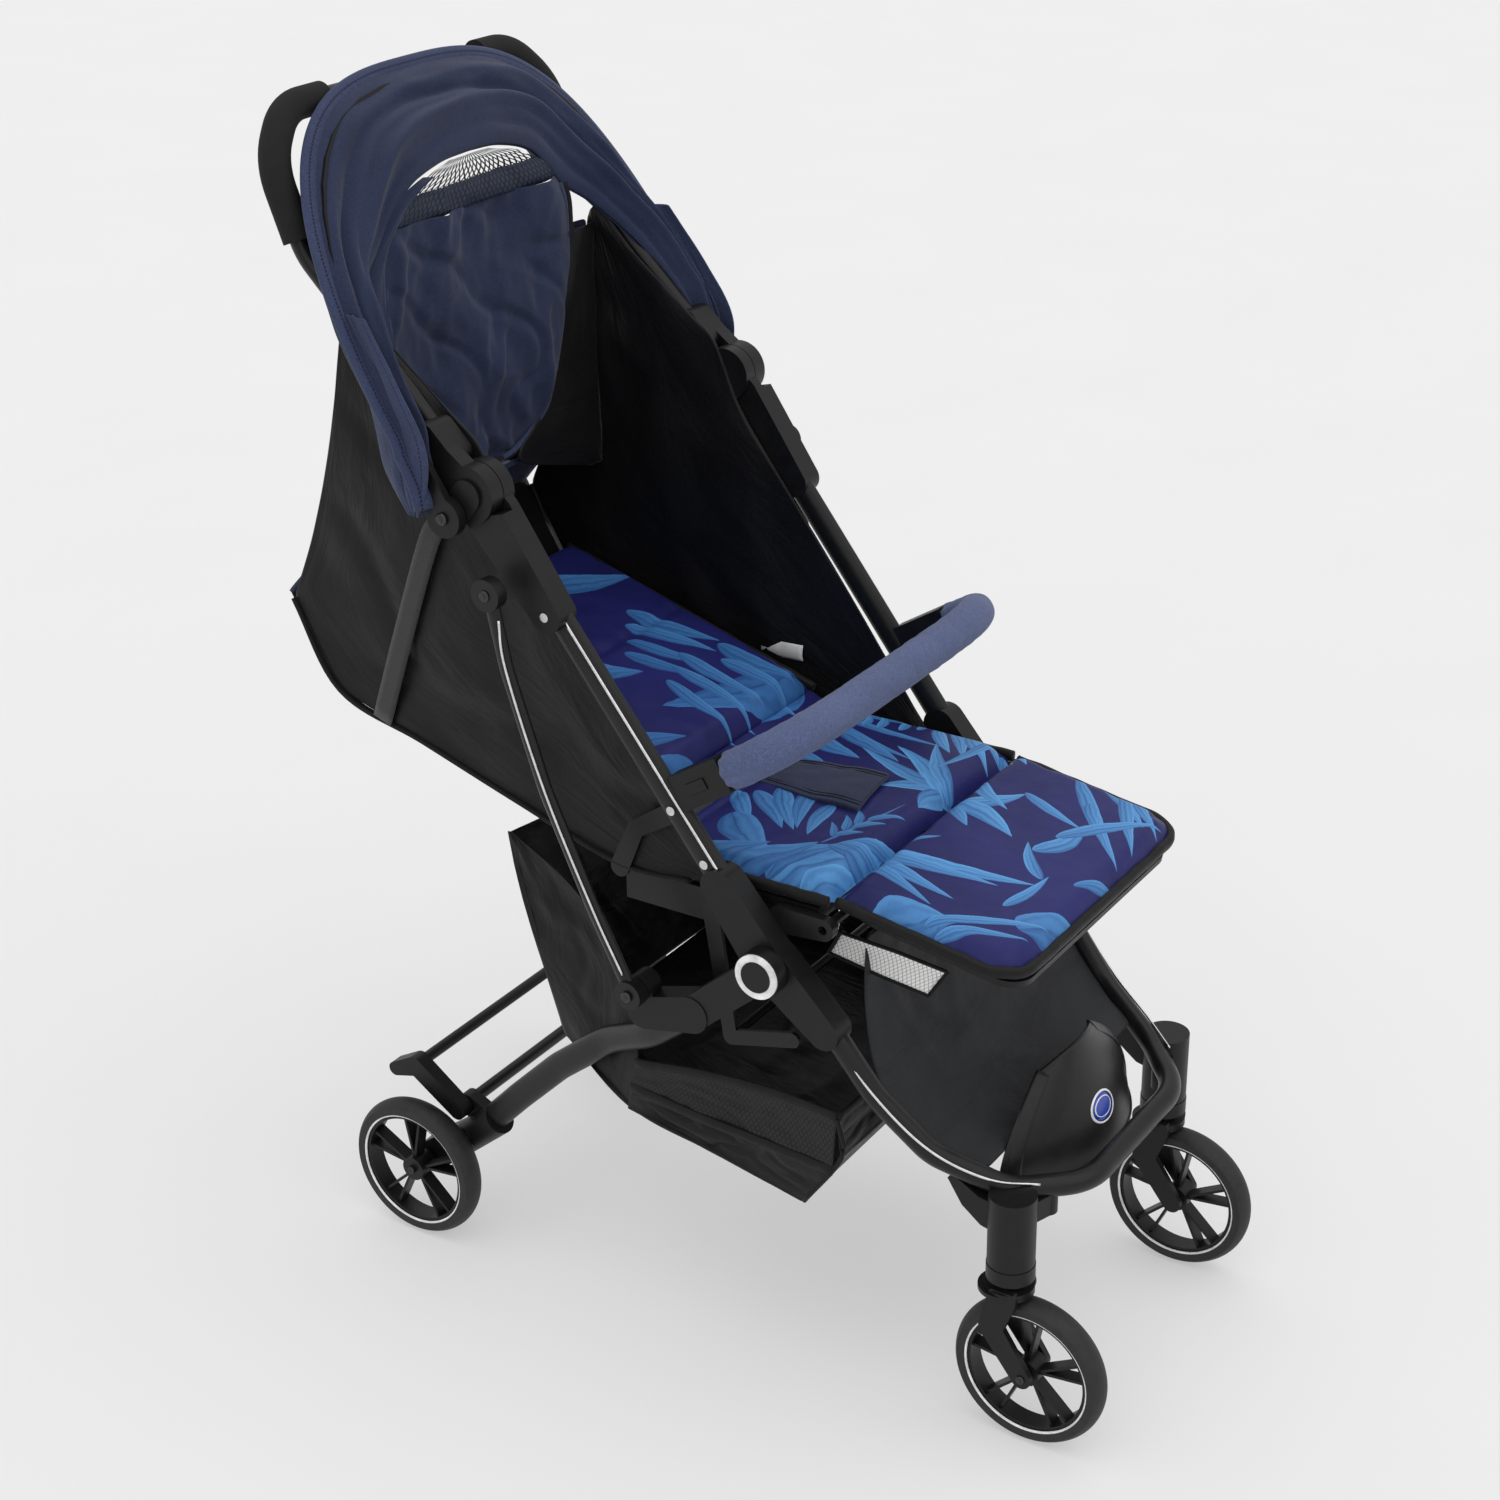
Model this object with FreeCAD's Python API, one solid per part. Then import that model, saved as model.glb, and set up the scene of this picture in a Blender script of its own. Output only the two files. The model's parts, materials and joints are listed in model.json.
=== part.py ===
"""Compact folding baby stroller: a steel side frame, folding rear legs, swivel casters and soft goods.

Millimetres. +Z is up, the stroller faces -Y, X = 0 is the mid-plane, Z = 0 is the floor, and the
origin is the middle of the footprint. "right" is the -X side and "left" the +X side, as the person
pushing sees them.
"""
import FreeCAD, Part
import math
import os

V = FreeCAD.Vector
X_AXIS = V(1, 0, 0)
ORIGIN = V(0, 0, 0)

# ---------------------------------------------------------------- driving dimensions
WHEEL_R = 70.0          # 140 mm (5.5 inch) wheels all round
WHEEL_W = 24.0
RIM_R = 58.0
FRONT_TRACK_X = 151.0   # caster axis from the mid-plane
REAR_TRACK_X = 181.5
CASTER_Y = -328.0
CASTER_TRAIL = 22.0     # the wheel stands this far ahead of its swivel axis at rest
REAR_AXLE = (288.0, 70.0)

MID = (-119.0, 412.5)       # (y, z) of the fold pivot where the rear leg meets the side frame
KNUCKLE = (159.0, 776.5)    # (y, z) of the handle fold pivot
CANOPY_PIVOT = (175.0, 758.0)
STRUT_TOP = (125.6, 704.6)
STRUT_FOOT = (-2.3, 368.7)
TUBE_X = 188.0              # centre of the upper side tubes
TUBE_RX, TUBE_RD = 8.0, 12.5    # oval tube: half width along X, half depth
LEG_RX, LEG_RD = 9.0, 13.0
STRUT_X = 227.0
RECLINE_AXIS = (40.0, 462.0)
LEG_REST_AXIS = (-160.0, 450.0)
BRAKE_SHAFT = (252.0, 132.0)
PIN_R = 4.0
ORIGIN_SHIFT = 14.0         # moves the origin from the wheels' middle to the middle of the whole length
RUN = 0.06                  # running clearance of a turning pin
GAP = 0.3                   # gap between curved faces of different bodies

SEAT_HALF = 165.0           # half width of seat board and cushions
SIDE_X = 173.0              # mid-plane of the fabric side panels
CANOPY_HALF, CANOPY_REACH = 227.0, 364.0
CANOPY_ANGLE, CANOPY_LEAN, CANOPY_POWER = 55.5, 2.8, 3.05

TUBE_ANGLE = math.degrees(math.atan2(KNUCKLE[1] - MID[1], KNUCKLE[0] - MID[0]))
LEG_ANGLE = -40.5           # rear leg, from +Y
BUMPER_ANGLE = 148.0        # the bumper bar plugs in along this direction


# ---------------------------------------------------------------- small helpers
def yz(point, x=0.0):
    return V(x, point[0], point[1])


def along(point, angle, distance, across=0.0):
    """A (y, z) point that lies a distance along an angle, and a distance to its left."""
    a = math.radians(angle)
    return (point[0] + distance * math.cos(a) - across * math.sin(a),
            point[1] + distance * math.sin(a) + across * math.cos(a))


def mirrored(shape):
    return shape.mirror(ORIGIN, X_AXIS)


def pair(shape):
    """The same piece on the -X side and mirrored to the +X side, as two solids."""
    return Part.makeCompound(shape.Solids + mirrored(shape).Solids)


def cut(shape, *tools):
    for tool in tools:
        shape = shape.cut(tool)
    return shape


def fuse(*shapes):
    joined = shapes[0]
    for shape in shapes[1:]:
        joined = joined.fuse(shape)
    return joined.removeSplitter()


def disc(centre, radius, x0, x1):
    """A round plate square to X."""
    return Part.makeCylinder(radius, abs(x1 - x0), yz(centre, min(x0, x1)), X_AXIS)


def plate(points, x0, x1):
    """A flat plate square to X, from its (y, z) corners."""
    corners = [yz(p, min(x0, x1)) for p in points]
    face = Part.Face(Part.makePolygon(corners + corners[:1]))
    return face.extrude(V(abs(x1 - x0), 0, 0))


def link(a, b, ra, rb, x0, x1):
    """A flat link square to X with a round end at a and at b, and straight sides between."""
    length = math.hypot(b[0] - a[0], b[1] - a[1])
    angle = math.degrees(math.atan2(b[1] - a[1], b[0] - a[0]))
    slope = math.degrees(math.acos((ra - rb) / length))
    corners = [along(a, angle + slope, ra), along(b, angle + slope, rb),
               along(b, angle - slope, rb), along(a, angle - slope, ra)]
    return fuse(disc(a, ra, x0, x1), disc(b, rb, x0, x1), plate(corners, x0, x1))


def box_at(centre, angle, length, depth, x0, x1):
    """A block square to X, centred on (y, z), its length turned by angle from +Y."""
    half_l, half_d = length / 2, depth / 2
    corners = [along(centre, angle, s * half_l, t * half_d) for s, t in
               ((-1, -1), (1, -1), (1, 1), (-1, 1))]
    return plate(corners, x0, x1)


def rounded_path(points, bend):
    """Straight runs joined by tangent arcs of one radius, or less where a run is short."""
    edges, last = [], points[0]
    for before, corner, after in zip(points, points[1:], points[2:]):
        into, out = corner - before, after - corner
        turn = into.getAngle(out)
        reach = min(bend * math.tan(turn / 2), 0.45 * into.Length, 0.45 * out.Length)
        start = corner - into.normalize() * reach
        end = corner + out.normalize() * reach
        radius = reach / math.tan(turn / 2)
        inward = (out - into).normalize()
        centre = corner + inward * (radius / math.cos(turn / 2))
        middle = centre - inward * radius
        edges += [Part.makeLine(last, start), Part.Arc(start, middle, end).toShape()]
        last = end
    edges.append(Part.makeLine(last, points[-1]))
    return Part.Wire(edges)


def tube(points, rx, rd, bend=40.0):
    """A bar swept along the points; rx is its half width along X and rd its half depth."""
    run = (points[1] - points[0]).normalize()
    side = V(1, 0, 0) - run * run.x
    if side.Length < 0.2:
        side = V(0, 0, 1) - run * run.z
    side.normalize()
    if abs(rx - rd) < 1e-6:
        profile = Part.Wire(Part.makeCircle(rx, points[0], run))
    else:
        deep = run.cross(side)
        outline = Part.Ellipse(points[0] + deep * rd, points[0] + side * rx, points[0])
        profile = Part.Wire(outline.toShape())
    return rounded_path(points, bend).makePipeShell([profile], True, False)


def both_sides(points):
    """A path that runs along the right side and, mirrored, back along the left side."""
    return points + [V(-p.x, p.y, p.z) for p in points[::-1]]


def sheet(rows, thickness, towards):
    """A closed thin solid on a grid of points, thickened towards one point."""
    def inner(p):
        return p + (towards - p).normalize() * thickness

    def quad(a, b, c, d):
        return [Part.Face(Part.makePolygon([a, b, c, a])), Part.Face(Part.makePolygon([a, c, d, a]))]

    back = [[inner(p) for p in row] for row in rows]
    faces, height, width = [], len(rows), len(rows[0])
    for i in range(height - 1):
        for j in range(width - 1):
            for grid in (rows, back):
                faces += quad(grid[i][j], grid[i][j + 1], grid[i + 1][j + 1], grid[i + 1][j])
    rim = ([(0, j) for j in range(width)] + [(i, width - 1) for i in range(1, height)]
           + [(height - 1, j) for j in range(width - 2, -1, -1)] + [(i, 0) for i in range(height - 2, 0, -1)])
    for (i, j), (m, n) in zip(rim, rim[1:] + rim[:1]):
        faces += quad(rows[i][j], rows[m][n], back[m][n], back[i][j])
    shell = Part.Shell(faces)
    shell.sewShape()
    solid = Part.Solid(shell)
    if solid.isInside(V(0, 0, -5000), 0.1, False):
        solid.reverse()
    return solid


def slab(rear, front, half_width, thickness, corner=25.0):
    """A pad from its rear to its front (y, z) edge, its top face on that line, with round corners."""
    length = math.hypot(front[0] - rear[0], front[1] - rear[1])
    angle = math.degrees(math.atan2(rear[1] - front[1], rear[0] - front[0]))
    pad = Part.makeBox(2 * half_width, length, thickness, V(-half_width, 0, -thickness))
    upright = [e for e in pad.Edges if abs(e.tangentAt(e.FirstParameter).z) > 0.9]
    pad = pad.makeFillet(corner, upright)
    pad.rotate(ORIGIN, X_AXIS, angle)
    pad.translate(yz(front))
    return pad


parts = {}

# ---------------------------------------------------------------- wheels


def tyre_at(x, y, z):
    """A solid tyre with a crowned tread."""
    half, inner, side = WHEEL_W / 2, RIM_R, 5.0
    a, b = V(-half, inner, 0), V(half, inner, 0)
    c, d = V(half, WHEEL_R - side, 0), V(-half, WHEEL_R - side, 0)
    crown = Part.Arc(c, V(0, WHEEL_R, 0), d).toShape()
    wire = Part.Wire([Part.makeLine(a, b), Part.makeLine(b, c), crown, Part.makeLine(d, a)])
    ring = Part.Face(wire).revolve(ORIGIN, X_AXIS, 360)
    ring.translate(V(x, y, z))
    return ring


def rim_at(x, y, z):
    """A moulded rim: hub, hub cap, five pairs of blade spokes and an outer band."""
    half = 9.0
    band = Part.makeCylinder(RIM_R, 2 * half, V(-half, 0, 0), X_AXIS).cut(
        Part.makeCylinder(RIM_R - 5, 2 * half, V(-half, 0, 0), X_AXIS))
    hub = Part.makeCylinder(12, 2 * half + 2, V(-half - 1, 0, 0), X_AXIS)
    web = band.fuse(hub)
    for spoke in range(5):
        for lean in (-11, 11):
            blade = Part.makeBox(2 * half - 5, 2.6, RIM_R - 12, V(-half + 2.5, -1.3, 9))
            blade.rotate(V(0, 0, 9), X_AXIS, lean)
            blade.rotate(ORIGIN, X_AXIS, 72 * spoke)
            web = web.fuse(blade)
    web = web.cut(Part.makeCylinder(PIN_R + RUN, 60, V(-30, 0, 0), X_AXIS))
    web.translate(V(x, y, z))
    return web.removeSplitter()


FRONT_WHEEL_Y = CASTER_Y - CASTER_TRAIL
for side_name, sign in (("right", -1), ("left", 1)):
    front = (sign * FRONT_TRACK_X, FRONT_WHEEL_Y, WHEEL_R)
    rear = (sign * REAR_TRACK_X, *REAR_AXLE)
    parts[f"tyre_front_{side_name}"] = tyre_at(*front)
    parts[f"rim_front_{side_name}"] = rim_at(*front)
    parts[f"tyre_rear_{side_name}"] = tyre_at(*rear)
    parts[f"rim_rear_{side_name}"] = rim_at(*rear)

# ---------------------------------------------------------------- casters
BODY_R, BODY_TOP, BODY_BOTTOM = 20.5, 238.0, 172.0
COLLAR_BOTTOM, CROWN_TOP, CROWN_BOTTOM = 158.0, 152.0, 143.0
STEM_R, POST_R = 6.0, 4.0


def upright(x, radius, bottom, top, y=CASTER_Y):
    return Part.makeCylinder(radius, top - bottom, V(x, y, bottom))


def caster_stem(x):
    """Swivel pin, lower collar and the post that the sprung fork slides on."""
    return fuse(upright(x, STEM_R, BODY_BOTTOM - 0.5, 226), upright(x, 21, COLLAR_BOTTOM, BODY_BOTTOM - 0.5),
                upright(x, POST_R, 144.5, COLLAR_BOTTOM))


def fork(x):
    """Crown with a round fender lip and two arms that straddle the wheel."""
    crown = fuse(upright(x, 21, CROWN_BOTTOM, CROWN_TOP - 2),
                 upright(x, 12, CROWN_TOP - 2, CROWN_TOP),
                 Part.makeCylinder(22, 4, V(x, CASTER_Y + 6, CROWN_BOTTOM)))
    top, foot = (CASTER_Y - 2, CROWN_BOTTOM + 1.5), (FRONT_WHEEL_Y, WHEEL_R)
    for inner, outer in ((13.5, 19.5), (-19.5, -13.5)):
        knee = (CASTER_Y + 8, 112.0)
        crown = crown.fuse(link(top, knee, 13, 11, x + inner, x + outer))
        crown = crown.fuse(link(knee, foot, 11, 9, x + inner, x + outer))
    crown = crown.cut(upright(x, POST_R + RUN, CROWN_BOTTOM - 5, CROWN_TOP + 5))
    above = Part.makeBox(60, 90, 40, V(x - 30, CASTER_Y - 45, CROWN_TOP))
    return crown.fuse(disc(foot, PIN_R, x - 19.5, x + 19.5)).cut(above).removeSplitter()


def spring(x):
    """The exposed turns of the compression spring, standing on its thin seat sleeve."""
    turns, wire_r, coil_r = 3, 0.9, 8.0
    bottom, top = CROWN_TOP + 0.1, COLLAR_BOTTOM - 0.1
    coil = upright(x, coil_r, bottom, top).cut(upright(x, coil_r - 1.2, bottom - 1, top + 1))
    for turn in range(turns):
        height = bottom + wire_r + (top - bottom - 2 * wire_r) * turn / (turns - 1)
        coil = coil.fuse(Part.makeTorus(coil_r, wire_r, V(x, CASTER_Y, height)))
    return coil


def caster_bracket(x):
    """Upright swivel housing with a gusset behind and an ear inboard, riveted to the front tube."""
    body = upright(x, BODY_R, BODY_BOTTOM, BODY_TOP)
    rise = [(0, 196), (26, 202), (44, 216), (58, 238), (54, 243), (44, 238), (28, 229), (0, 225)]
    body = body.fuse(plate([(CASTER_Y + y, z) for y, z in rise], x - 7, x + 7))
    inward = math.copysign(1, -x)
    ear = V(x + inward * 38, CASTER_Y - 13, 205)
    arm = Part.makeBox(16, 40, 20, V(-8, 0, 205))
    arm.rotate(ORIGIN, V(0, 0, 1), math.degrees(math.atan2(-inward * 38, -13)))
    arm.translate(V(x, CASTER_Y, 0))
    body = body.fuse(arm).fuse(Part.makeCylinder(9, 20, ear))
    return body.cut(upright(x, STEM_R + RUN, BODY_BOTTOM - 1, 226.5)).removeSplitter()


# ---------------------------------------------------------------- side frame
upper_tube = tube([yz(along(MID, TUBE_ANGLE, 4), -TUBE_X), yz(along(KNUCKLE, TUBE_ANGLE, -27), -TUBE_X)],
                  TUBE_RX, TUBE_RD)
parts["side_tubes"] = pair(upper_tube)

FRONT_TUBE_Z = 228.0
half_u = [yz(along(MID, TUBE_ANGLE, 1.5), -TUBE_X), yz((-181, 356), -185), yz((-212, 309), -178),
          yz((-258, 262), -165), yz((-318, 232), -138), V(-85, -366, 226)]
parts["front_u_tube"] = tube(both_sides(half_u), 10.0, 10.0, 60)
frame_tubes = [parts["side_tubes"], parts["front_u_tube"]]

for side_name, sign in (("right", -1), ("left", 1)):
    bracket = caster_bracket(sign * FRONT_TRACK_X)
    parts[f"caster_bracket_{side_name}"] = bracket.cut(parts["front_u_tube"]).Solids[0]
    parts[f"caster_stem_{side_name}"] = caster_stem(sign * FRONT_TRACK_X)
    parts[f"fork_{side_name}"] = fork(sign * FRONT_TRACK_X)
    parts[f"caster_spring_{side_name}"] = spring(sign * FRONT_TRACK_X)

# Sleeve round the side tube at the mid pivot, with the boss that the rear leg turns on.
joint_low, joint_high = (-172.0, 366.0), along(MID, TUBE_ANGLE, 78)
sleeve = fuse(link(MID, joint_high, 20, 16, -199, -177), link(MID, joint_low, 20, 15, -198, -175))
pivot_pin = disc(MID, 9, -199, -214)
parts["mid_joints"] = pair(cut(sleeve.fuse(pivot_pin), *frame_tubes).Solids[0])

# Knuckle bracket: fold disc, long plate down the tube, and the strut's guide rib.
plate_foot = along(MID, TUBE_ANGLE, 340)
bracket = fuse(disc(KNUCKLE, 25, -176, -190),
               link(along(KNUCKLE, TUBE_ANGLE, -24), plate_foot, 20, 14, -180, -204),
               link(STRUT_TOP, along(plate_foot, TUBE_ANGLE, 36), 13, 11, -192, -204))
turning = disc(KNUCKLE, 25 + GAP, -190, -230)
knuckle_pin = disc(KNUCKLE, 7, -190, -208)
HANDLE_ANGLE, HANDLE_FOLD = 45.2, 130.0
folded_arms = [link(KNUCKLE, along(KNUCKLE, HANDLE_ANGLE + turn, 38), 18 + 2 * GAP, 12 + 2 * GAP, -230, -190.7)
               for turn in (HANDLE_FOLD - 18, HANDLE_FOLD - 12, HANDLE_FOLD - 6, HANDLE_FOLD)]
bracket = cut(bracket, turning, *folded_arms).fuse(knuckle_pin).cut(parts["side_tubes"])
parts["knuckle_brackets"] = pair(max(bracket.Solids, key=lambda s: s.Volume))

# ---------------------------------------------------------------- seat structure
SEAT_TOP = 462.0
seat_rear = along(RECLINE_AXIS, 180, 12)
seat_pan = Part.makeBox(2 * SEAT_HALF, seat_rear[0] + 150, 8, V(-SEAT_HALF, -150, SEAT_TOP - 8))
parts["seat_pan"] = seat_pan
seat_box = Part.makeBox(14, 150, 30, V(-170, -110, SEAT_TOP - 39))

seat_arm = fuse(link((-20, 524), (22, 497), 9, 8, -179.5, -175.5),
                link((22, 497), (40, 456), 8, 9, -179.5, -175.5))
parts["seat_arms"] = pair(cut(seat_arm, parts["side_tubes"]).Solids[0])

cross_tubes = [tube([V(-170, y, z), V(170, y, z)], 7, 7) for y, z in ((24, 441), (-132, 441))]
hinge_block = link((-118, 448), LEG_REST_AXIS, 12, 10, -177, -168).cut(disc(LEG_REST_AXIS, PIN_R + RUN, -166, -180))
parts["seat_rails"] = pair(cut(fuse(seat_box, hinge_block), seat_pan))
cross_tubes = [c.cut(parts["seat_rails"]) for c in cross_tubes]
parts["seat_cross_tubes"] = Part.makeCompound([max(c.Solids, key=lambda s: s.Volume) for c in cross_tubes])

# Folding links between the mid joint and the basket frame, with a thin cross rod.
link_pivot = (-66, 318)
fold_link = fuse(link((-48, 438), link_pivot, 8, 7, -174, -170.2), link(link_pivot, (-128, 334), 7, 7, -174, -170.2))
cross_rod = Part.makeCylinder(4, 2 * 172, V(-172, *link_pivot), X_AXIS)
parts["fold_links"] = fuse(fold_link, mirrored(fold_link), cross_rod)

# ---------------------------------------------------------------- rear legs
leg_points = [yz(along(MID, LEG_ANGLE, 84), -203), yz((8, 306), -190), yz((66, 272), -168),
              yz((130, 219), -160), yz((182, 167), -155), yz((236, 110), -150)]
leg = tube(leg_points, LEG_RX, LEG_RD, 120)
eye_bore = disc(MID, 9 + RUN, -198, -220)
leg_cover = fuse(disc(MID, 21, -199.3, -213), link(along(MID, LEG_ANGLE, 20), along(MID, LEG_ANGLE, 92), 15, 15,
                                                   -199.3, -213))
strut_clamp = fuse(link(along(MID, LEG_ANGLE, 88), along(STRUT_FOOT, -90, 26), 17, 15, -192, -214),
                   disc(STRUT_FOOT, 12, -200, -220), link(STRUT_FOOT, along(STRUT_FOOT, -90, 26), 12, 12, -200, -214))
leg_cover = leg_cover.cut(eye_bore).fuse(disc(MID, 13.8, -212.5, -216)).cut(disc(MID, 9 + RUN, -198, -214.2))
parts["rear_legs"] = pair(leg.cut(leg_cover).Solids[0])
parts["leg_covers"] = pair(leg_cover)
strut_clamp = cut(strut_clamp, leg, leg_cover).fuse(disc(STRUT_FOOT, 5, -219, -236))
parts["strut_clamps"] = pair(max(strut_clamp.Solids, key=lambda s: s.Volume))

ring_trim = disc(MID, 20, -213, -215).cut(disc(MID, 14, -210, -220))
parts["pivot_rings"] = pair(ring_trim)

barrel_foot = along((236, 110), LEG_ANGLE, 34)
barrel = Part.makeCylinder(16, 66, yz(along(barrel_foot, LEG_ANGLE, -66), -150),
                           yz(barrel_foot) - yz(along(barrel_foot, LEG_ANGLE, -1)))
hub_arm = link(along(barrel_foot, LEG_ANGLE, -16), REAR_AXLE, 15, 15, -166, -140)
shaft_ear = link(BRAKE_SHAFT, along(barrel_foot, LEG_ANGLE, -44), 10, 14, -149, -136)
rear_pin = disc(REAR_AXLE, PIN_R, -150, -194)
brake_shaft = Part.makeCylinder(6, 2 * 166, V(-166, *BRAKE_SHAFT), X_AXIS)
hub = cut(fuse(barrel, hub_arm, shaft_ear), leg, brake_shaft).fuse(rear_pin)
parts["rear_hubs"] = pair(max(hub.Solids, key=lambda s: s.Volume))
parts["rear_cross_tube"] = brake_shaft

lever_knee, lever_tip = (300.0, 166.0), (324.0, 156.0)
lever = fuse(link(BRAKE_SHAFT, lever_knee, 9, 10, -165, -151), link(lever_knee, lever_tip, 10, 7, -165, -151))
brake_bar = disc(lever_knee, 5.5, -151, 151)
lever = cut(lever, disc(BRAKE_SHAFT, 6 + RUN, -180, -140))
parts["brake_levers"] = fuse(lever, mirrored(lever), brake_bar)

# ---------------------------------------------------------------- struts
strut_points = [yz(STRUT_TOP, -STRUT_X), yz((112, 640), -STRUT_X), yz((78, 538), -STRUT_X),
                yz((34, 440), -STRUT_X), yz(STRUT_FOOT, -STRUT_X)]
strut = fuse(tube(strut_points, 4.5, 7.0, 150), disc(STRUT_TOP, 14, -222, -234), disc(STRUT_FOOT, 13, -222, -234))
parts["struts"] = pair(strut.cut(disc(STRUT_FOOT, 5 + RUN, -215, -240)))

# ---------------------------------------------------------------- handle
HANDLE_STRAIGHT = 244.0
ARCH_ANGLE, ARCH_HEIGHT = 69.0, 117.7
arch_base = along(KNUCKLE, HANDLE_ANGLE, HANDLE_STRAIGHT)


def arch_point(x, rise):
    """A point in the plane of the handle's arch, rise being measured from its two feet."""
    return yz(along(arch_base, ARCH_ANGLE, rise), x)


socket_top = along(KNUCKLE, HANDLE_ANGLE, 60)
knuckle_half = fuse(disc(KNUCKLE, 25, -191, -207), link(along(KNUCKLE, HANDLE_ANGLE, 38), socket_top, 12, 12, -207, -178),
                    link(KNUCKLE, along(KNUCKLE, HANDLE_ANGLE, 38), 18, 12, -207, -191),
                    link(CANOPY_PIVOT, KNUCKLE, 14, 14, -207, -210))
keep_clear = disc(KNUCKLE, 25 + GAP, -190.6, -170)
knuckle_half = cut(knuckle_half, keep_clear, disc(KNUCKLE, 7 + RUN, -170, -208.5))
knuckle_half = knuckle_half.fuse(disc(CANOPY_PIVOT, 5, -210, -222))
shoulder_points = [arch_point(-TUBE_X, 78), arch_point(-152, ARCH_HEIGHT - 0.2)]
handle_path = both_sides([yz(along(KNUCKLE, HANDLE_ANGLE, 42), -TUBE_X), yz(arch_base, -TUBE_X)] + shoulder_points)
handle_tube = tube(handle_path, 8.0, 8.0, 60)
parts["handle_tube"] = handle_tube
knuckle_half = cut(knuckle_half, handle_tube)
parts["handle_knuckles"] = pair(max(knuckle_half.Solids, key=lambda s: s.Volume))

grip = tube([arch_point(-TUBE_X, 12)] + shoulder_points + [arch_point(-105, ARCH_HEIGHT)], 13.5, 13.5, 60)
parts["handle_grips"] = pair(max(grip.cut(handle_tube).Solids, key=lambda s: s.Volume))
handle_top = along(arch_base, ARCH_ANGLE, ARCH_HEIGHT, -3)
housing = box_at(along(handle_top, ARCH_ANGLE, 2), ARCH_ANGLE, 24, 18, -34, 34)
button_pocket = box_at(along(handle_top, ARCH_ANGLE, 12.5), ARCH_ANGLE, 5.8, 12.6, -13.3, 13.3)
parts["release_housing"] = max(cut(housing, button_pocket, handle_tube).Solids, key=lambda s: s.Volume)
parts["release_button"] = box_at(along(handle_top, ARCH_ANGLE, 13.3), ARCH_ANGLE, 3.4, 12, -13, 13)

# ---------------------------------------------------------------- canopy


def hem_point(turn, half, reach, angle=CANOPY_ANGLE, lean=CANOPY_LEAN):
    """A point of a bow: a rounded arch between the canopy pivots, turn from 0 to 180 degrees."""
    power = 2 / CANOPY_POWER
    c, s = math.cos(math.radians(turn)), math.sin(math.radians(turn))
    rise = abs(s) ** power
    x = -half * math.copysign(abs(c) ** power, c)
    a = math.radians(angle + lean * rise)
    return V(x, CANOPY_PIVOT[0] + reach * rise * math.cos(a), CANOPY_PIVOT[1] + reach * rise * math.sin(a))


def bow(half, reach, angle, width, thickness, first=4):
    """A flat plastic bow on the arch, wide across the fabric and thin the other way."""
    turns = [first + (180 - 2 * first) * k / 24 for k in range(25)]
    a = math.radians(angle + 90)
    sideways = V(0, math.cos(a), math.sin(a)) * (width / 2)
    rows = [[hem_point(t, half, reach, angle) + sideways * s for t in turns] for s in (-1, 1)]
    return sheet(rows, thickness, yz(CANOPY_PIVOT))


front_bow = bow(CANOPY_HALF - 4, CANOPY_REACH - 12, CANOPY_ANGLE + 2.0, 6, 3)
clip_tip = along(CANOPY_PIVOT, 62, 66)
clip = fuse(disc(CANOPY_PIVOT, 17, -211, -221), link(CANOPY_PIVOT, clip_tip, 13, 7, -221, -214))
clips = pair(cut(clip, disc(CANOPY_PIVOT, 5 + RUN, -200, -230), front_bow).Solids[0])
parts["canopy_bow"] = Part.makeCompound(front_bow.Solids + clips.Solids)

CURTAIN_Y = 303.0
CURTAIN_HALF, CURTAIN_LOW, CURTAIN_TOP = 176.0, 706.0, 996.0
CURTAIN_POWER = 3.2


def curtain_point(turn, y=CURTAIN_Y, grow=0.0):
    """A point of the back curtain's rounded arch outline, turn from 0 to 180 degrees."""
    power = 2 / CURTAIN_POWER
    c, s = math.cos(math.radians(turn)), math.sin(math.radians(turn))
    x = -(CURTAIN_HALF + grow) * math.copysign(abs(c) ** power, c)
    return V(x, y, CURTAIN_LOW + (CURTAIN_TOP + grow - CURTAIN_LOW) * abs(s) ** power)


STEPS = 24
curtain_edge = [curtain_point(180 * k / STEPS) for k in range(STEPS + 1)]
curtain_wire = Part.makePolygon(curtain_edge + curtain_edge[:1])
parts["back_curtain"] = Part.Face(curtain_wire).extrude(V(0, 3, 0))

canopy_turns = [10 + 160 * k / STEPS for k in range(STEPS + 1)]
canopy_rows = []
for blend in (0.03, 0.35, 0.68, 1.0):
    crown = V(0, 0, 10 * math.sin(math.pi * blend))
    canopy_rows.append([hem_point(t, CANOPY_HALF, CANOPY_REACH) * (1 - blend)
                        + curtain_point(t, CURTAIN_Y - 1, 4) * blend + crown for t in canopy_turns])
tube_opening = tube(handle_path, 9.5, 9.5, 60)
parts["canopy_fabric"] = sheet(canopy_rows, 2.0, V(0, 900, 300)).cut(tube_opening)

# ---------------------------------------------------------------- seat fabric
side_outline = [(146, 744), (-58, 478), (-60, 468), (30, 466), (52, 461), (342, 553), (387, 634), (300, 702),
                (186, 738)]
parts["side_panels"] = pair(plate(side_outline, -SIDE_X - 1, -SIDE_X + 1))
parts["seat_cushion"] = slab((22, 476), (-152, 476), SEAT_HALF - 3, 13)

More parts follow.
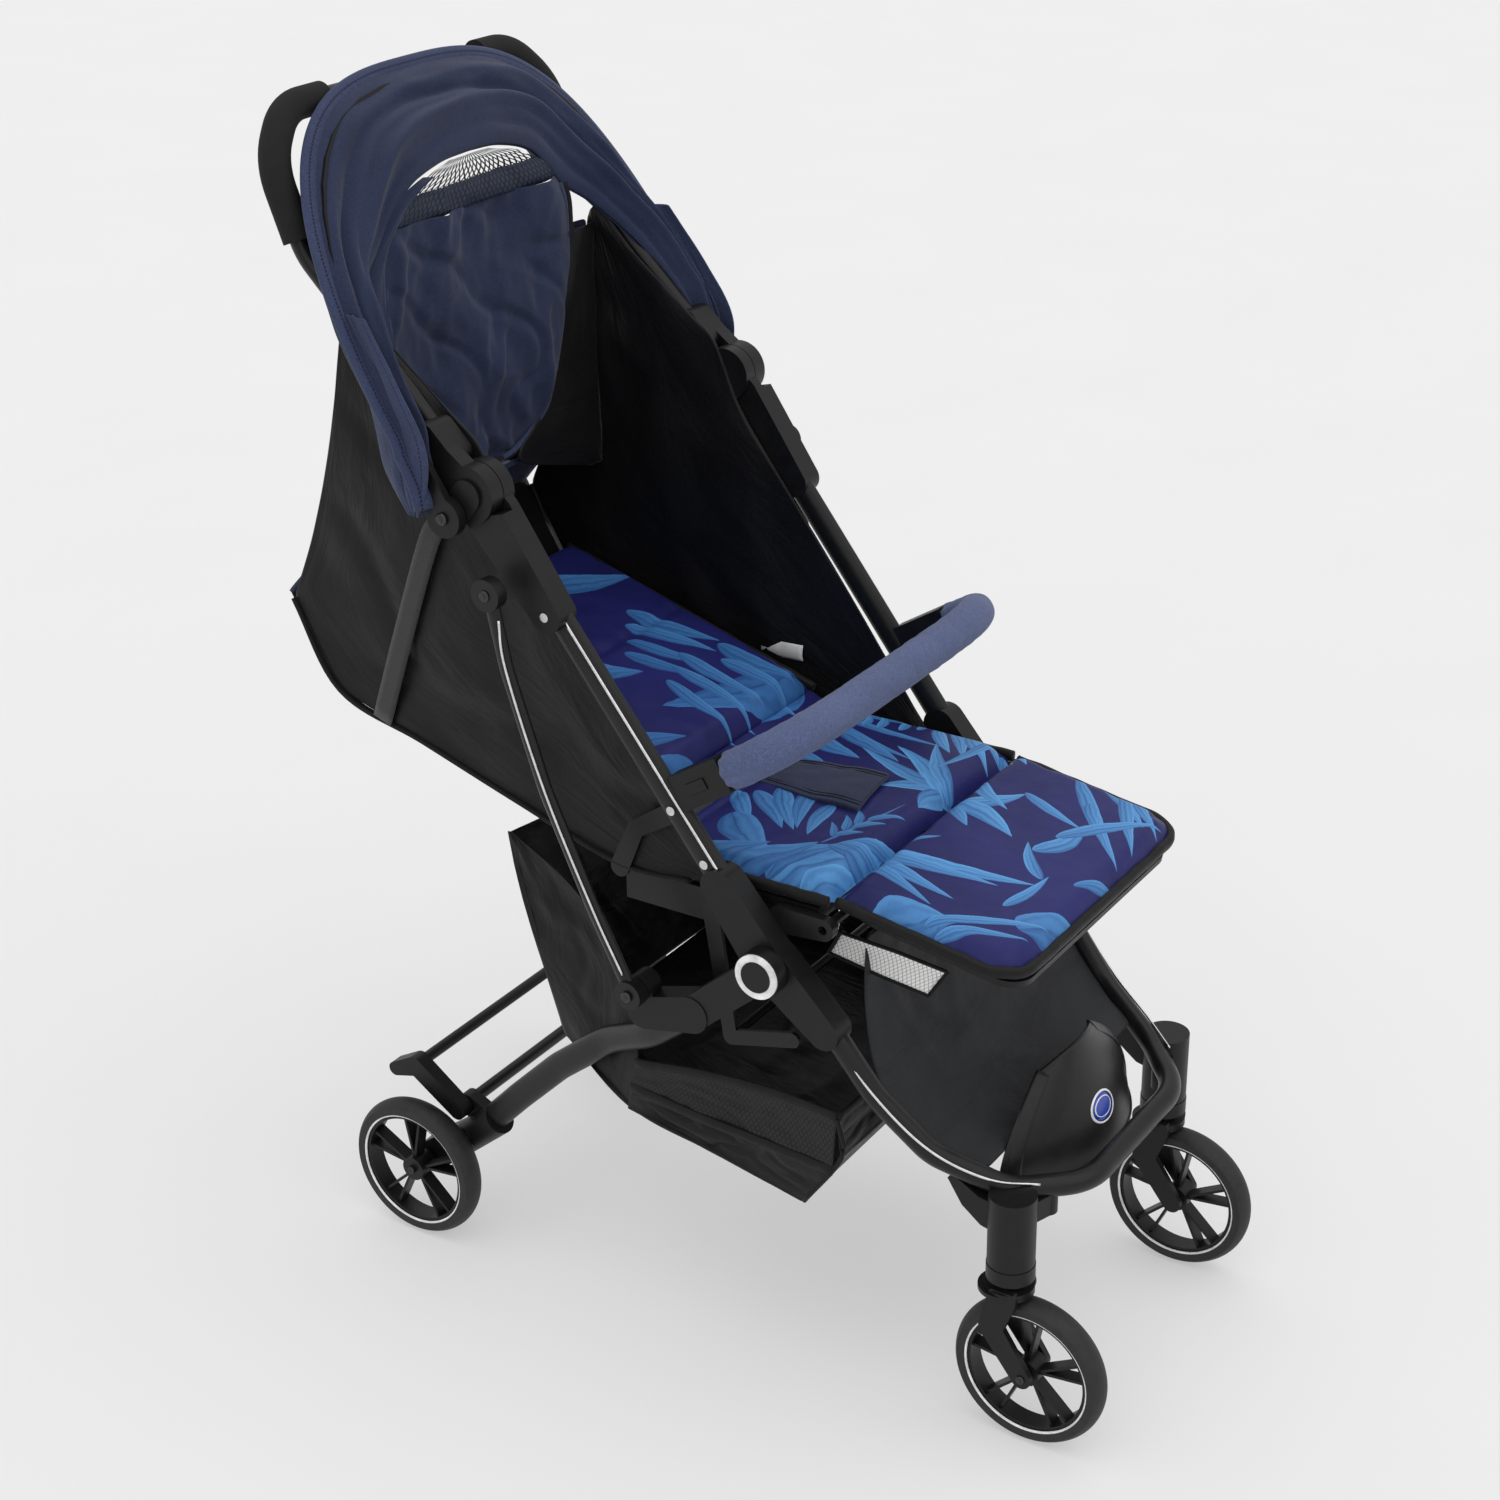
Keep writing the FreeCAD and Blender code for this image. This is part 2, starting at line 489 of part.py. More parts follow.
RECLINE_ANGLE = 17.5
back_rear = along(RECLINE_AXIS, RECLINE_ANGLE, 318)
head_top = along(back_rear, 60, 92)
board = slab(back_rear, along(RECLINE_AXIS, RECLINE_ANGLE, 0), SEAT_HALF, 5, 10)
hinge_tube = tube([V(-170.5, *RECLINE_AXIS), V(170.5, *RECLINE_AXIS)], 4, 4)
head_panel = slab(head_top, along(back_rear, 60, -2), SEAT_HALF, 4, 10)
parts["backrest_board"] = fuse(board, hinge_tube, head_panel)
parts["backrest_cushion"] = slab(along(back_rear, RECLINE_ANGLE + 90, 14), along(RECLINE_AXIS, RECLINE_ANGLE, 26, 14),
                                 SEAT_HALF - 4, 13.5)

LEG_REST_ANGLE = 190.0
rest_tip = along(LEG_REST_AXIS, LEG_REST_ANGLE, 166)
rest_board = slab(along(LEG_REST_AXIS, LEG_REST_ANGLE, 3, -8), along(rest_tip, LEG_REST_ANGLE, 0, -8), 146, 6)
rest_hinge = tube([V(-167, *LEG_REST_AXIS), V(167, *LEG_REST_AXIS)], 4, 4)
parts["leg_rest_board"] = fuse(rest_board, rest_hinge)
parts["leg_rest_cushion"] = slab(along(LEG_REST_AXIS, LEG_REST_ANGLE, 2, -22), along(rest_tip, LEG_REST_ANGLE, 6, -22),
                                 SEAT_HALF - 8, 13)

# Calf panel: cloth from the seat's front edge down to the moulded foot cover.
CALF_EDGE = [(126, -172, 425), (146, -186, 368), (160, -212, 310), (147, -256, 265), (103, -295, 248)]
calf_rows = [[V(s * half, y, z) for s in (-1, -0.5, 0, 0.5, 1)] for half, y, z in CALF_EDGE]
parts["calf_panel"] = sheet(calf_rows, 2, V(0, 0, 100))


def cover_row(height):
    """A row of the foot cover, which bulges forwards between its two side edges."""
    width = 118 - 34 * max(0, height - 0.45) / 0.55
    row = []
    for k in range(-4, 5):
        s = k / 4
        bulge = math.cos(s * math.pi / 2) ** 0.7 if abs(s) < 1 else 0.0
        row.append(V(width * s, -297 - (52 - 40 * height) * bulge, 212 + 90 * height - 12 * s * s))
    return row


parts["foot_cover"] = sheet([cover_row(h) for h in (0, 0.25, 0.5, 0.75, 1)], 3, V(0, -150, 240))

# ---------------------------------------------------------------- basket
basket_side = [(-176, 276), (-182, 238), (-141, 180), (40, 214), (30, 262)]
basket_rear = [(30, 212), (142, 236), (184, 372), (196, 430), (190, 432), (30, 285)]
outer = fuse(plate(basket_side, -182, 182), plate(basket_rear, -136, 136))
WALL = 2.5
inner_side = [(-176 + WALL, 330), (-182 + WALL, 238), (-141 + WALL, 180 + WALL), (40 - WALL, 214 + WALL), (27, 330)]
inner_rear = [(20, 210 + WALL), (142 - WALL, 236 + WALL), (184 - WALL, 372), (196 - 2 * WALL, 430), (150, 470),
              (20, 330)]
inner = fuse(plate(inner_side, -182 + WALL, 182 - WALL), plate(inner_rear, -136 + WALL, 136 - WALL))
parts["basket"] = outer.cut(inner)

# ---------------------------------------------------------------- harness
parts["crotch_pad"] = slab((6, 486), (-104, 486), 34, 8, 10)
parts["buckle"] = Part.makeBox(44, 24, 12, V(-22, 14, 481)).cut(Part.makeBox(12.6, 12.6, 9, V(-6.3, 19.7, 487)))
parts["buckle_button"] = Part.makeBox(12, 12, 5.5, V(-6, 20, 489.6))
parts["waist_straps"] = pair(Part.makeBox(128, 24, 2.2, V(-160, 10, 476.3)))

# ---------------------------------------------------------------- bumper bar
mount_base = along(MID, TUBE_ANGLE, 161, 12)
mount = box_at(along(mount_base, BUMPER_ANGLE, 27), BUMPER_ANGLE, 54, 32, -194, -176)
TONGUE = (46.0, 16.0)
tongue_centre = along(mount_base, BUMPER_ANGLE, 38)
pocket = box_at(tongue_centre, BUMPER_ANGLE, TONGUE[0] + 2 * GAP, TONGUE[1] + 2 * GAP, -190, -180)
button_at = along(mount_base, BUMPER_ANGLE, 24)
button_pocket = box_at(button_at, BUMPER_ANGLE, 20.6, 10.6, -196, -191)
parts["bumper_mounts"] = pair(cut(mount, pocket, button_pocket, parts["side_tubes"]).Solids[0])
button = box_at(button_at, BUMPER_ANGLE, 20, 10, -195.2, -193)
parts["bumper_button_right"] = button
parts["bumper_button_left"] = mirrored(button)
bar_start = along(mount_base, BUMPER_ANGLE, 56)
bar_bend = along(mount_base, BUMPER_ANGLE, 78)
half_bar = [yz(bar_start, -185), yz(bar_bend, -184), V(-150, bar_bend[0] - 22, bar_bend[1] + 13),
            V(-90, bar_bend[0] - 26, bar_bend[1] + 14)]
bar = tube(both_sides(half_bar), 7, 7, 40)
tongue = box_at(tongue_centre, BUMPER_ANGLE, TONGUE[0], TONGUE[1], -190 + GAP, -180 - GAP)
shoulder = box_at(bar_start, BUMPER_ANGLE, 3, 20, -192, -178)
bar = fuse(bar, tongue, mirrored(tongue), shoulder, mirrored(shoulder))
parts["bumper_bar"] = bar
sleeve_points = [yz(along(mount_base, BUMPER_ANGLE, 59), -184.8)] + half_bar[1:]
sleeve_tube = tube(both_sides(sleeve_points), 17, 17, 40)
sleeve_tube = sleeve_tube.cut(bar)
parts["bumper_sleeve"] = max(sleeve_tube.Solids, key=lambda s: s.Volume)

# ---------------------------------------------------------------- rivets
rivets = []
for distance in (341, 152, 100):
    rivets.append(disc(along(MID, TUBE_ANGLE, distance), 4, -204 if distance > 300 else -196,
                       -205.5 if distance > 300 else -197.5))
parts["frame_rivets"] = pair(Part.makeCompound(rivets))

os.makedirs("parts", exist_ok=True)
for name, shape in parts.items():
    shape.translate(V(0, ORIGIN_SHIFT, 0))
    shape.exportStep(f"parts/{name}.step")
    print(f"{name:24s} solids {len(shape.Solids)} valid {shape.isValid()} volume {shape.Volume / 1000:8.1f} cm3")
print(len(parts), "nodes")
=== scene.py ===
"""Looks of the compact folding baby stroller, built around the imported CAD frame."""
import bpy
import json
import math
import numpy as np
from mathutils import Matrix, Vector, noise

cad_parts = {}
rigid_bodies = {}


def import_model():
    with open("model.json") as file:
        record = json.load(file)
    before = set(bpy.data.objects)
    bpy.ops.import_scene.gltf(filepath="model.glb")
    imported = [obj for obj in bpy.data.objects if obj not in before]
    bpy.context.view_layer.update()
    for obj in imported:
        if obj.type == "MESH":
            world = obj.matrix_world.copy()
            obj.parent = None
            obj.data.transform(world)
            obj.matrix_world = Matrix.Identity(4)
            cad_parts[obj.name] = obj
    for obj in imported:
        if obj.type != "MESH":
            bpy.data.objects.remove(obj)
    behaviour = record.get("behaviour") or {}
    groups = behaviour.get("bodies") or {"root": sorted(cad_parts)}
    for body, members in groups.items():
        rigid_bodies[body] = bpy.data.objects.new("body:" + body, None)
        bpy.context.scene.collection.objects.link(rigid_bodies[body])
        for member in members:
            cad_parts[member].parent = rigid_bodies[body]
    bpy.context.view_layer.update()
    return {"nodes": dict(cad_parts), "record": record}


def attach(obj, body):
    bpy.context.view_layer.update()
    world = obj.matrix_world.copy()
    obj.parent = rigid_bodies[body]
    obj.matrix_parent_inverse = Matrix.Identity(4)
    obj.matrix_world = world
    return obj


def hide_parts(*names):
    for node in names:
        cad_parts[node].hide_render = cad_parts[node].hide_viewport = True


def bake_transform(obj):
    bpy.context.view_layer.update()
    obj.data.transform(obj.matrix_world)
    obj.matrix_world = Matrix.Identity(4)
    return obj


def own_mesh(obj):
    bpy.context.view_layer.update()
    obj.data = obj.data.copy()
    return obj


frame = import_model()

NODES = frame["nodes"]
scene = bpy.context.scene
scene.view_settings.view_transform = "Standard"

# ------------------------------------------------------------------ frame geometry, in millimetres
SHIFT = 14.0                      # the drawing's Y plus this is the row frame's Y
MID, KNUCKLE, PIVOT = (-119.0, 412.5), (159.0, 776.5), (175.0, 758.0)
TUBE_ANGLE = math.degrees(math.atan2(KNUCKLE[1] - MID[1], KNUCKLE[0] - MID[0]))
SIDES = (("right", -1), ("left", 1))


def P(x, y, z):
    """A point of the drawing in the row frame, in metres."""
    return Vector((x, y + SHIFT, z)) / 1000


def along(point, angle, distance, across=0.0):
    a = math.radians(angle)
    return (point[0] + distance * math.cos(a) - across * math.sin(a),
            point[1] + distance * math.sin(a) + across * math.cos(a))


def wob(*c, seed=0.0):
    """Smooth noise from -1 to 1."""
    c = list(c) + [0.0] * (3 - len(c))
    return noise.noise(Vector((c[0] + seed * 7.31, c[1] - seed * 3.17, c[2] + seed * 1.93))) * 1.6


# ------------------------------------------------------------------ materials
class Mat:
    """A node material with a small vocabulary for building procedural surfaces."""

    def __init__(self, name, **sockets):
        self.m = bpy.data.materials.new(name)
        self.m.use_nodes = True
        self.t = self.m.node_tree
        self.bsdf = self.t.nodes["Principled BSDF"]
        self.out = self.t.nodes["Material Output"]
        for key, value in sockets.items():
            self.bsdf.inputs[key.replace("_", " ")].default_value = value

    def n(self, kind, **kw):
        node = self.t.nodes.new(kind)
        for key, value in kw.items():
            setattr(node, key, value)
        return node

    def link(self, a, b):
        self.t.links.new(a, b)

    def feed(self, node, *values):
        """Sets or links a node's inputs in order; None leaves one alone."""
        for socket, value in zip(node.inputs, values):
            if value is None:
                continue
            if isinstance(value, bpy.types.NodeSocket):
                self.link(value, socket)
            else:
                socket.default_value = value
        return node.outputs[0]

    def math(self, op, *values, clamp=False):
        return self.feed(self.n("ShaderNodeMath", operation=op, use_clamp=clamp), *values)

    def coords(self, kind="Object"):
        return self.n("ShaderNodeTexCoord").outputs[kind]

    def scaled(self, vector, scale):
        node = self.n("ShaderNodeMapping")
        self.link(vector, node.inputs["Vector"])
        node.inputs["Scale"].default_value = scale
        return node.outputs[0]

    def noise(self, vector, scale, detail=3.0, rough=0.55, distort=0.0):
        node = self.n("ShaderNodeTexNoise")
        self.link(vector, node.inputs["Vector"])
        node.inputs["Scale"].default_value = scale
        node.inputs["Detail"].default_value = detail
        node.inputs["Roughness"].default_value = rough
        node.inputs["Distortion"].default_value = distort
        return node.outputs["Fac"]

    def ramp(self, fac, *stops):
        node = self.n("ShaderNodeValToRGB")
        self.link(fac, node.inputs["Fac"])
        ramp = node.color_ramp
        while len(ramp.elements) < len(stops):
            ramp.elements.new(0.5)
        for element, (pos, colour) in zip(ramp.elements, stops):
            element.position = pos
            element.color = colour if len(colour) == 4 else (*colour, 1)
        return node.outputs["Color"]

    def mix(self, fac, a, b):
        node = self.n("ShaderNodeMix", data_type="RGBA")
        self.feed_named(node, {"Factor": fac, "A": a, "B": b}, "RGBA")
        return [o for o in node.outputs if o.type == "RGBA"][0]

    def feed_named(self, node, values, kind):
        for key, value in values.items():
            wanted = [s for s in node.inputs if s.name == key and (key == "Factor" and s.type == "VALUE"
                                                                    or key != "Factor" and s.type == kind)][0]
            if isinstance(value, bpy.types.NodeSocket):
                self.link(value, wanted)
            else:
                wanted.default_value = (*value, 1) if isinstance(value, tuple) and len(value) == 3 else value

    def split(self, vector):
        """The X, Y and Z of a vector."""
        node = self.n("ShaderNodeSeparateXYZ")
        self.link(vector, node.inputs[0])
        return node.outputs

    def shades(self, fac, tone, dark, light, low=0.3, high=0.7):
        """The tone darkened and lightened by two factors, spread by fac."""
        return self.ramp(fac, (low, tuple(dark * c for c in tone)), (high, tuple(light * c for c in tone)))

    def colour(self, socket):
        self.link(socket, self.bsdf.inputs["Base Color"])

    def rough(self, fac, low, high):
        node = self.n("ShaderNodeMapRange")
        self.link(fac, node.inputs[0])
        node.inputs[3].default_value = low
        node.inputs[4].default_value = high
        self.link(node.outputs[0], self.bsdf.inputs["Roughness"])

    def bump(self, *layers):
        """Layers of (height socket, strength, distance)."""
        last = None
        for height, strength, distance in layers:
            node = self.n("ShaderNodeBump")
            node.inputs["Strength"].default_value = strength
            node.inputs["Distance"].default_value = distance
            self.link(height, node.inputs["Height"])
            if last is not None:
                self.link(last, node.inputs["Normal"])
            last = node.outputs[0]
        self.link(last, self.bsdf.inputs["Normal"])

    def cut_out(self, solid):
        """Open where solid is 0."""
        clear = self.n("ShaderNodeBsdfTransparent")
        mixer = self.n("ShaderNodeMixShader")
        self.link(solid, mixer.inputs[0])
        self.link(clear.outputs[0], mixer.inputs[1])
        self.link(self.bsdf.outputs[0], mixer.inputs[2])
        self.link(mixer.outputs[0], self.out.inputs["Surface"])


def weave(m, uv, pitch):
    """Height of a plain weave from UVs in metres."""
    split = m.split(uv)
    u = m.math("SINE", m.math("MULTIPLY", split[0], math.tau / pitch))
    v = m.math("SINE", m.math("MULTIPLY", split[1], math.tau / pitch))
    return m.math("MULTIPLY", u, v)


def melange(name, dark, light, coord="UV", stitch=None):
    """Cloth woven from dark and light yarns, like a fine denim."""
    m = Mat(name, Sheen_Weight=0.12, Sheen_Roughness=0.45, Specular_IOR_Level=0.3)
    uv = m.coords(coord)
    warp = m.noise(m.scaled(uv, (2600, 260, 700)), 1.0, 2.0, 0.7)
    weft = m.noise(m.scaled(uv, (240, 2400, 700)), 1.0, 2.0, 0.7)
    yarn = m.math("MULTIPLY", m.math("ADD", warp, weft), 0.5)
    cloud = m.noise(uv, 14.0, 3.0)
    fac = m.math("ADD", yarn, m.math("MULTIPLY", m.math("SUBTRACT", cloud, 0.5), 0.16))
    base = m.ramp(fac, (0.36, dark), (0.66, light))
    if stitch:
        split = m.split(uv)
        seam = None
        for at in stitch:
            d = m.math("ABSOLUTE", m.math("SUBTRACT", split[1], at))
            dash = m.math("LESS_THAN", m.math("FRACT", m.math("MULTIPLY", split[0], 290.0)), 0.7)
            line = m.math("MULTIPLY", m.math("LESS_THAN", d, 0.0005), dash)
            seam = line if seam is None else m.math("MAXIMUM", seam, line)
        base = m.mix(seam, base, (0.006, 0.008, 0.03))
    m.colour(base)
    m.rough(yarn, 0.72, 0.92)
    m.bump((yarn, 0.5, 0.0006), (weave(m, uv, 0.0011), 0.25, 0.0003), (m.noise(uv, 60, 3.0), 0.25, 0.002))
    return m.m


def satin(name, tone, coord="UV", rough=(0.34, 0.52), crease=0.5, sheen=0.06):
    """Thin shiny polyester with soft creases; its colour is darkened in the crease hollows and lightened on
    the ridges, a painted shade and highlight.
    """
    m = Mat(name, Sheen_Weight=sheen, Sheen_Roughness=0.35, Specular_IOR_Level=0.22)
    uv = m.coords(coord)
    soft = m.noise(m.scaled(uv, (9, 22, 14)), 1.0, 4.0, 0.55, 0.8)
    # painted shade and light: the colour follows the crease height, darker in the hollows and lighter on the
    # ridges
    m.colour(m.shades(soft, tone, 0.75, 1.3))
    m.rough(m.noise(uv, 45, 3.0), *rough)
    m.bump((soft, crease, 0.006), (weave(m, uv, 0.0008), 0.12, 0.0002), (m.noise(uv, 110, 2.0), 0.12, 0.001))
    return m.m


def moulded(name, tone, rough=(0.36, 0.5), grain=0.18, coat=0.0):
    """Moulded plastic with a fine spark-eroded grain and slight wear."""
    m = Mat(name, Specular_IOR_Level=0.28, Coat_Weight=coat, Coat_Roughness=0.25)
    pos = m.coords()
    wear = m.noise(pos, 70, 5.0, 0.6)
    m.colour(m.shades(wear, tone, 0.8, 1.35, high=0.75))
    m.rough(wear, *rough)
    m.bump((m.noise(pos, 2600, 2.0), grain, 0.0002), (m.noise(pos, 24, 2.0), 0.05, 0.002))
    return m.m


def painted(name, tone, rough=(0.3, 0.42), metallic=0.0):
    """Powder-coated or brushed metal with faint orange peel and rub marks."""
    m = Mat(name, Specular_IOR_Level=0.32, Metallic=metallic)
    pos = m.coords()
    rub = m.noise(m.scaled(pos, (40, 160, 160)), 1.0, 5.0, 0.62)
    m.colour(m.shades(rub, tone, 0.85, 1.25, high=0.8))
    m.rough(rub, *rough)
    m.bump((m.noise(pos, 1500, 2.0), 0.1, 0.0002), (m.noise(pos, 300, 2.0), 0.06, 0.0006))
    return m.m


def netting(name, tone, pitch, wire, fill=None):
    """Knotted diamond netting, open between its threads."""
    m = Mat(name, Roughness=0.6, Specular_IOR_Level=0.35)
    uv = m.coords("UV")
    split = m.split(uv)
    u = m.math("MULTIPLY", split[0], 1.0 / pitch)
    v = m.math("MULTIPLY", split[1], 0.62 / pitch)
    threads = None
    for op in ("ADD", "SUBTRACT"):
        cell = m.math("FRACT", m.math(op, u, v))
        near = m.math("MINIMUM", cell, m.math("SUBTRACT", 1.0, cell))
        line = m.math("LESS_THAN", near, wire)
        threads = line if threads is None else m.math("MAXIMUM", threads, line)
    tint = m.noise(uv, 900, 2.0)
    dark = m.shades(tint, tone, 0.7, 1.5)
    if fill is None:
        m.colour(dark)
        m.cut_out(threads)
    else:
        m.colour(m.mix(threads, fill, dark))
    m.bump((threads, 0.5, 0.0006))
    return m.m


def blade_group():
    """One brush-stroke leaf blade: X runs 0..1 from foot to tip, Y from -1 to 1 across its widest part."""
    g = bpy.data.node_groups.new("leaf_blade", "ShaderNodeTree")
    for name, kind in (("Vector", "NodeSocketVector"), ("Bend", "NodeSocketFloat"),
                       ("Streak", "NodeSocketFloat")):
        g.interface.new_socket(name, in_out="INPUT", socket_type=kind)
    for name in ("Mask", "Shade"):
        g.interface.new_socket(name, in_out="OUTPUT", socket_type="NodeSocketFloat")
    m = Mat.__new__(Mat)
    m.t = g
    inputs, outputs = m.n("NodeGroupInput"), m.n("NodeGroupOutput")
    split = m.split(inputs.outputs["Vector"])
    s = split[0]
    arc = m.math("MULTIPLY", m.math("SINE", m.math("MULTIPLY", s, math.pi)), inputs.outputs["Bend"])
    across = m.math("ADD", split[1], m.math("ADD", arc, m.math("MULTIPLY", inputs.outputs["Streak"], 0.22)))
    inside = m.math("MULTIPLY", m.math("GREATER_THAN", s, 0.0), m.math("LESS_THAN", s, 1.0))
    body = m.math("SINE", m.math("MULTIPLY", m.math("POWER", m.math("MAXIMUM", s, 0.0001), 0.62), math.pi))
    width = m.math("MAXIMUM", m.math("POWER", body, 0.85), 0.001)
    ratio = m.math("DIVIDE", across, width)
    m.link(m.math("MULTIPLY", m.math("LESS_THAN", m.math("ABSOLUTE", ratio), 1.0), inside),
           outputs.inputs["Mask"])
    rib = m.math("LESS_THAN", m.math("ABSOLUTE", m.math("ADD", ratio, 0.1)), 0.06)
    brush = m.math("SINE", m.math("ADD", m.math("MULTIPLY", ratio, 9.0),
                                  m.math("MULTIPLY", inputs.outputs["Streak"], 9.0)))
    shade = m.math("ADD", m.math("MULTIPLY", ratio, 0.22), m.math("MULTIPLY", brush, 0.13))
    shade = m.math("ADD", shade, m.math("MULTIPLY", s, 0.28))
    m.link(m.math("ADD", m.math("SUBTRACT", shade, m.math("MULTIPLY", rib, 0.22)), 0.42),
           outputs.inputs["Shade"])
    return g


# Blades of the seat print: foot and tip (x, y) in millimetres, half width, bend, brightness.
BLADES = [
    ((-100, 60), (60, 10), 26, 0.4, 0.2), ((150, 60), (-10, 110), 24, -0.4, 0.2),
          ((-150, 150), (-30, 70), 22, 0.3, 0.2),
    ((91, 218), (126, 136), 14, 0.3, 0.35), ((70, 205), (108, 128), 11, -0.3, 0.4),
          ((50, 190), (84, 122), 10, 0.2, 0.3),
    ((30, 178), (64, 112), 10, 0.2, 0.25), ((75, 149), (80, 57), 11, 0.3, 0.4),
          ((52, 140), (50, 48), 10, -0.3, 0.45),
    ((119, 134), (137, 58), 16, 0.4, 0.35), ((100, 118), (110, 40), 12, -0.3, 0.45),
          ((28, 130), (20, 50), 10, 0.3, 0.4),
    ((-60, 230), (20, 150), 22, 0.3, 0.3), ((-150, 270), (-40, 300), 18, 0.2, 0.35),
          ((40, 300), (150, 250), 18, 0.2, 0.35),
    ((-120, 210), (-60, 120), 16, -0.3, 0.25), ((-130, 110), (-90, 30), 20, 0.4, 0.25),
    ((128, 16), (118, -110), 6, 0.3, 0.5), ((142, 14), (150, -83), 5, 0.3, 0.55),
          ((122, -23), (146, -16), 5, 0.6, 0.8),
    ((124, -38), (152, -28), 6, 0.6, 0.8), ((130, -58), (156, -49), 6, 0.6, 0.8),
          ((138, -72), (158, -68), 5, 0.5, 0.75),
    ((114, 7), (80, -98), 7, 0.4, 0.45), ((80, 7), (60, -56), 14, 0.3, 0.4),
          ((100, -10), (70, -90), 10, -0.3, 0.45),
    ((10, 10), (-10, -60), 16, 0.4, 0.3), ((40, 14), (20, -50), 13, -0.3, 0.35),
    ((-49, 4), (-103, -44), 10, 0.2, 0.55), ((-44, -13), (-94, -70), 11, -0.2, 0.5),
          ((-26, -27), (-92, -80), 11, 0.2, 0.6),
    ((-15, -53), (-88, -81), 10, 0.4, 0.5), ((-33, -84), (-93, -94), 9, 0.3, 0.6),
          ((-90, -18), (-140, -85), 22, 0.3, 0.45),
    ((-162, -104), (-49, -160), 30, 0.4, 0.75), ((-158, -94), (-92, -131), 15, -0.4, 0.5),
          ((-165, -132), (-101, -167), 18, 0.3, 0.8),
    ((-160, -60), (-100, -110), 18, 0.4, 0.45), ((-165, -20), (-120, -75), 14, 0.4, 0.35),
    ((-100, -112), (0, -138), 2, 0.5, 0.6), ((-84, -114), (-62, -100), 4, 0.5, 0.5),
          ((-70, -117), (-44, -104), 5, 0.5, 0.55),
    ((-56, -121), (-30, -108), 5, 0.5, 0.55), ((-80, -115), (-66, -134), 5, -0.5, 0.55),
          ((-62, -120), (-42, -142), 5, -0.5, 0.6),
    ((-44, -125), (-20, -148), 5, -0.5, 0.6),
    ((-97, -126), (-41, -285), 14, 0.35, 0.85), ((-97, -122), (-109, -244), 12, -0.2, 0.7),
    ((-99, -119), (-129, -234), 10, -0.4, 0.6), ((-95, -125), (-29, -189), 7, 0.4, 0.6),
          ((-101, -136), (-92, -184), 16, 0.5, 0.55),
    ((-92, -126), (-64, -262), 10, 0.2, 0.75),
    ((46, -157), (20, -96), 13, 0.5, 0.85), ((42, -158), (81, -46), 10, -0.6, 0.7),
          ((42, -148), (100, -72), 11, 0.6, 0.9),
    ((41, -154), (66, -118), 10, 0, 0.95), ((46, -155), (122, -100), 10, -0.5, 0.85),
          ((42, -148), (5, -147), 10, 0.3, 0.7),
    ((28, -171), (86, -209), 11, 0.5, 0.9), ((31, -166), (13, -234), 14, -0.6, 0.9),
          ((22, -172), (2, -196), 8, 0, 0.7),
    ((84, -160), (50, -210), 10, 0.6, 0.85), ((152, -84), (110, -120), 8, 0.3, 0.95),
          ((156, -100), (108, -134), 8, -0.3, 0.9),
    ((158, -116), (116, -156), 9, 0.5, 0.95), ((154, -132), (138, -162), 7, 0.4, 0.85),
          ((154, -152), (124, -176), 6, 0.3, 0.95),
    ((158, -164), (132, -186), 6, 0.3, 0.95), ((156, -176), (144, -194), 6, 0.3, 0.9),
          ((156, -142), (78, -124), 6, -0.5, 0.8),
    ((88, -208), (68, -273), 7, 0.3, 0.8), ((146, -231), (36, -322), 9, 0.3, 0.75),
          ((112, -259), (76, -288), 8, 0.3, 0.75),
    ((154, -253), (108, -312), 9, -0.3, 0.8), ((158, -272), (66, -322), 8, 0.3, 0.75),
          ((152, -286), (112, -324), 7, 0.5, 0.8),
    ((-30, -284), (16, -248), 7, -0.7, 0.8), ((6, -258), (76, -272), 11, 0.9, 0.85),
          ((40, -262), (126, -322), 9, -0.6, 0.8),
    ((-88, -279), (-22, -287), 6, 0.5, 0.85), ((-19, -309), (20, -329), 6, 0.4, 0.6),
    ((-110, -304), (-52, -334), 22, 0.2, 0.5), ((-176, -196), (-138, -262), 26, -0.3, 0.55),
          ((-150, -240), (-90, -322), 7, -0.5, 0.8),
    ((-156, -250), (-118, -318), 6, -0.5, 0.7),
]


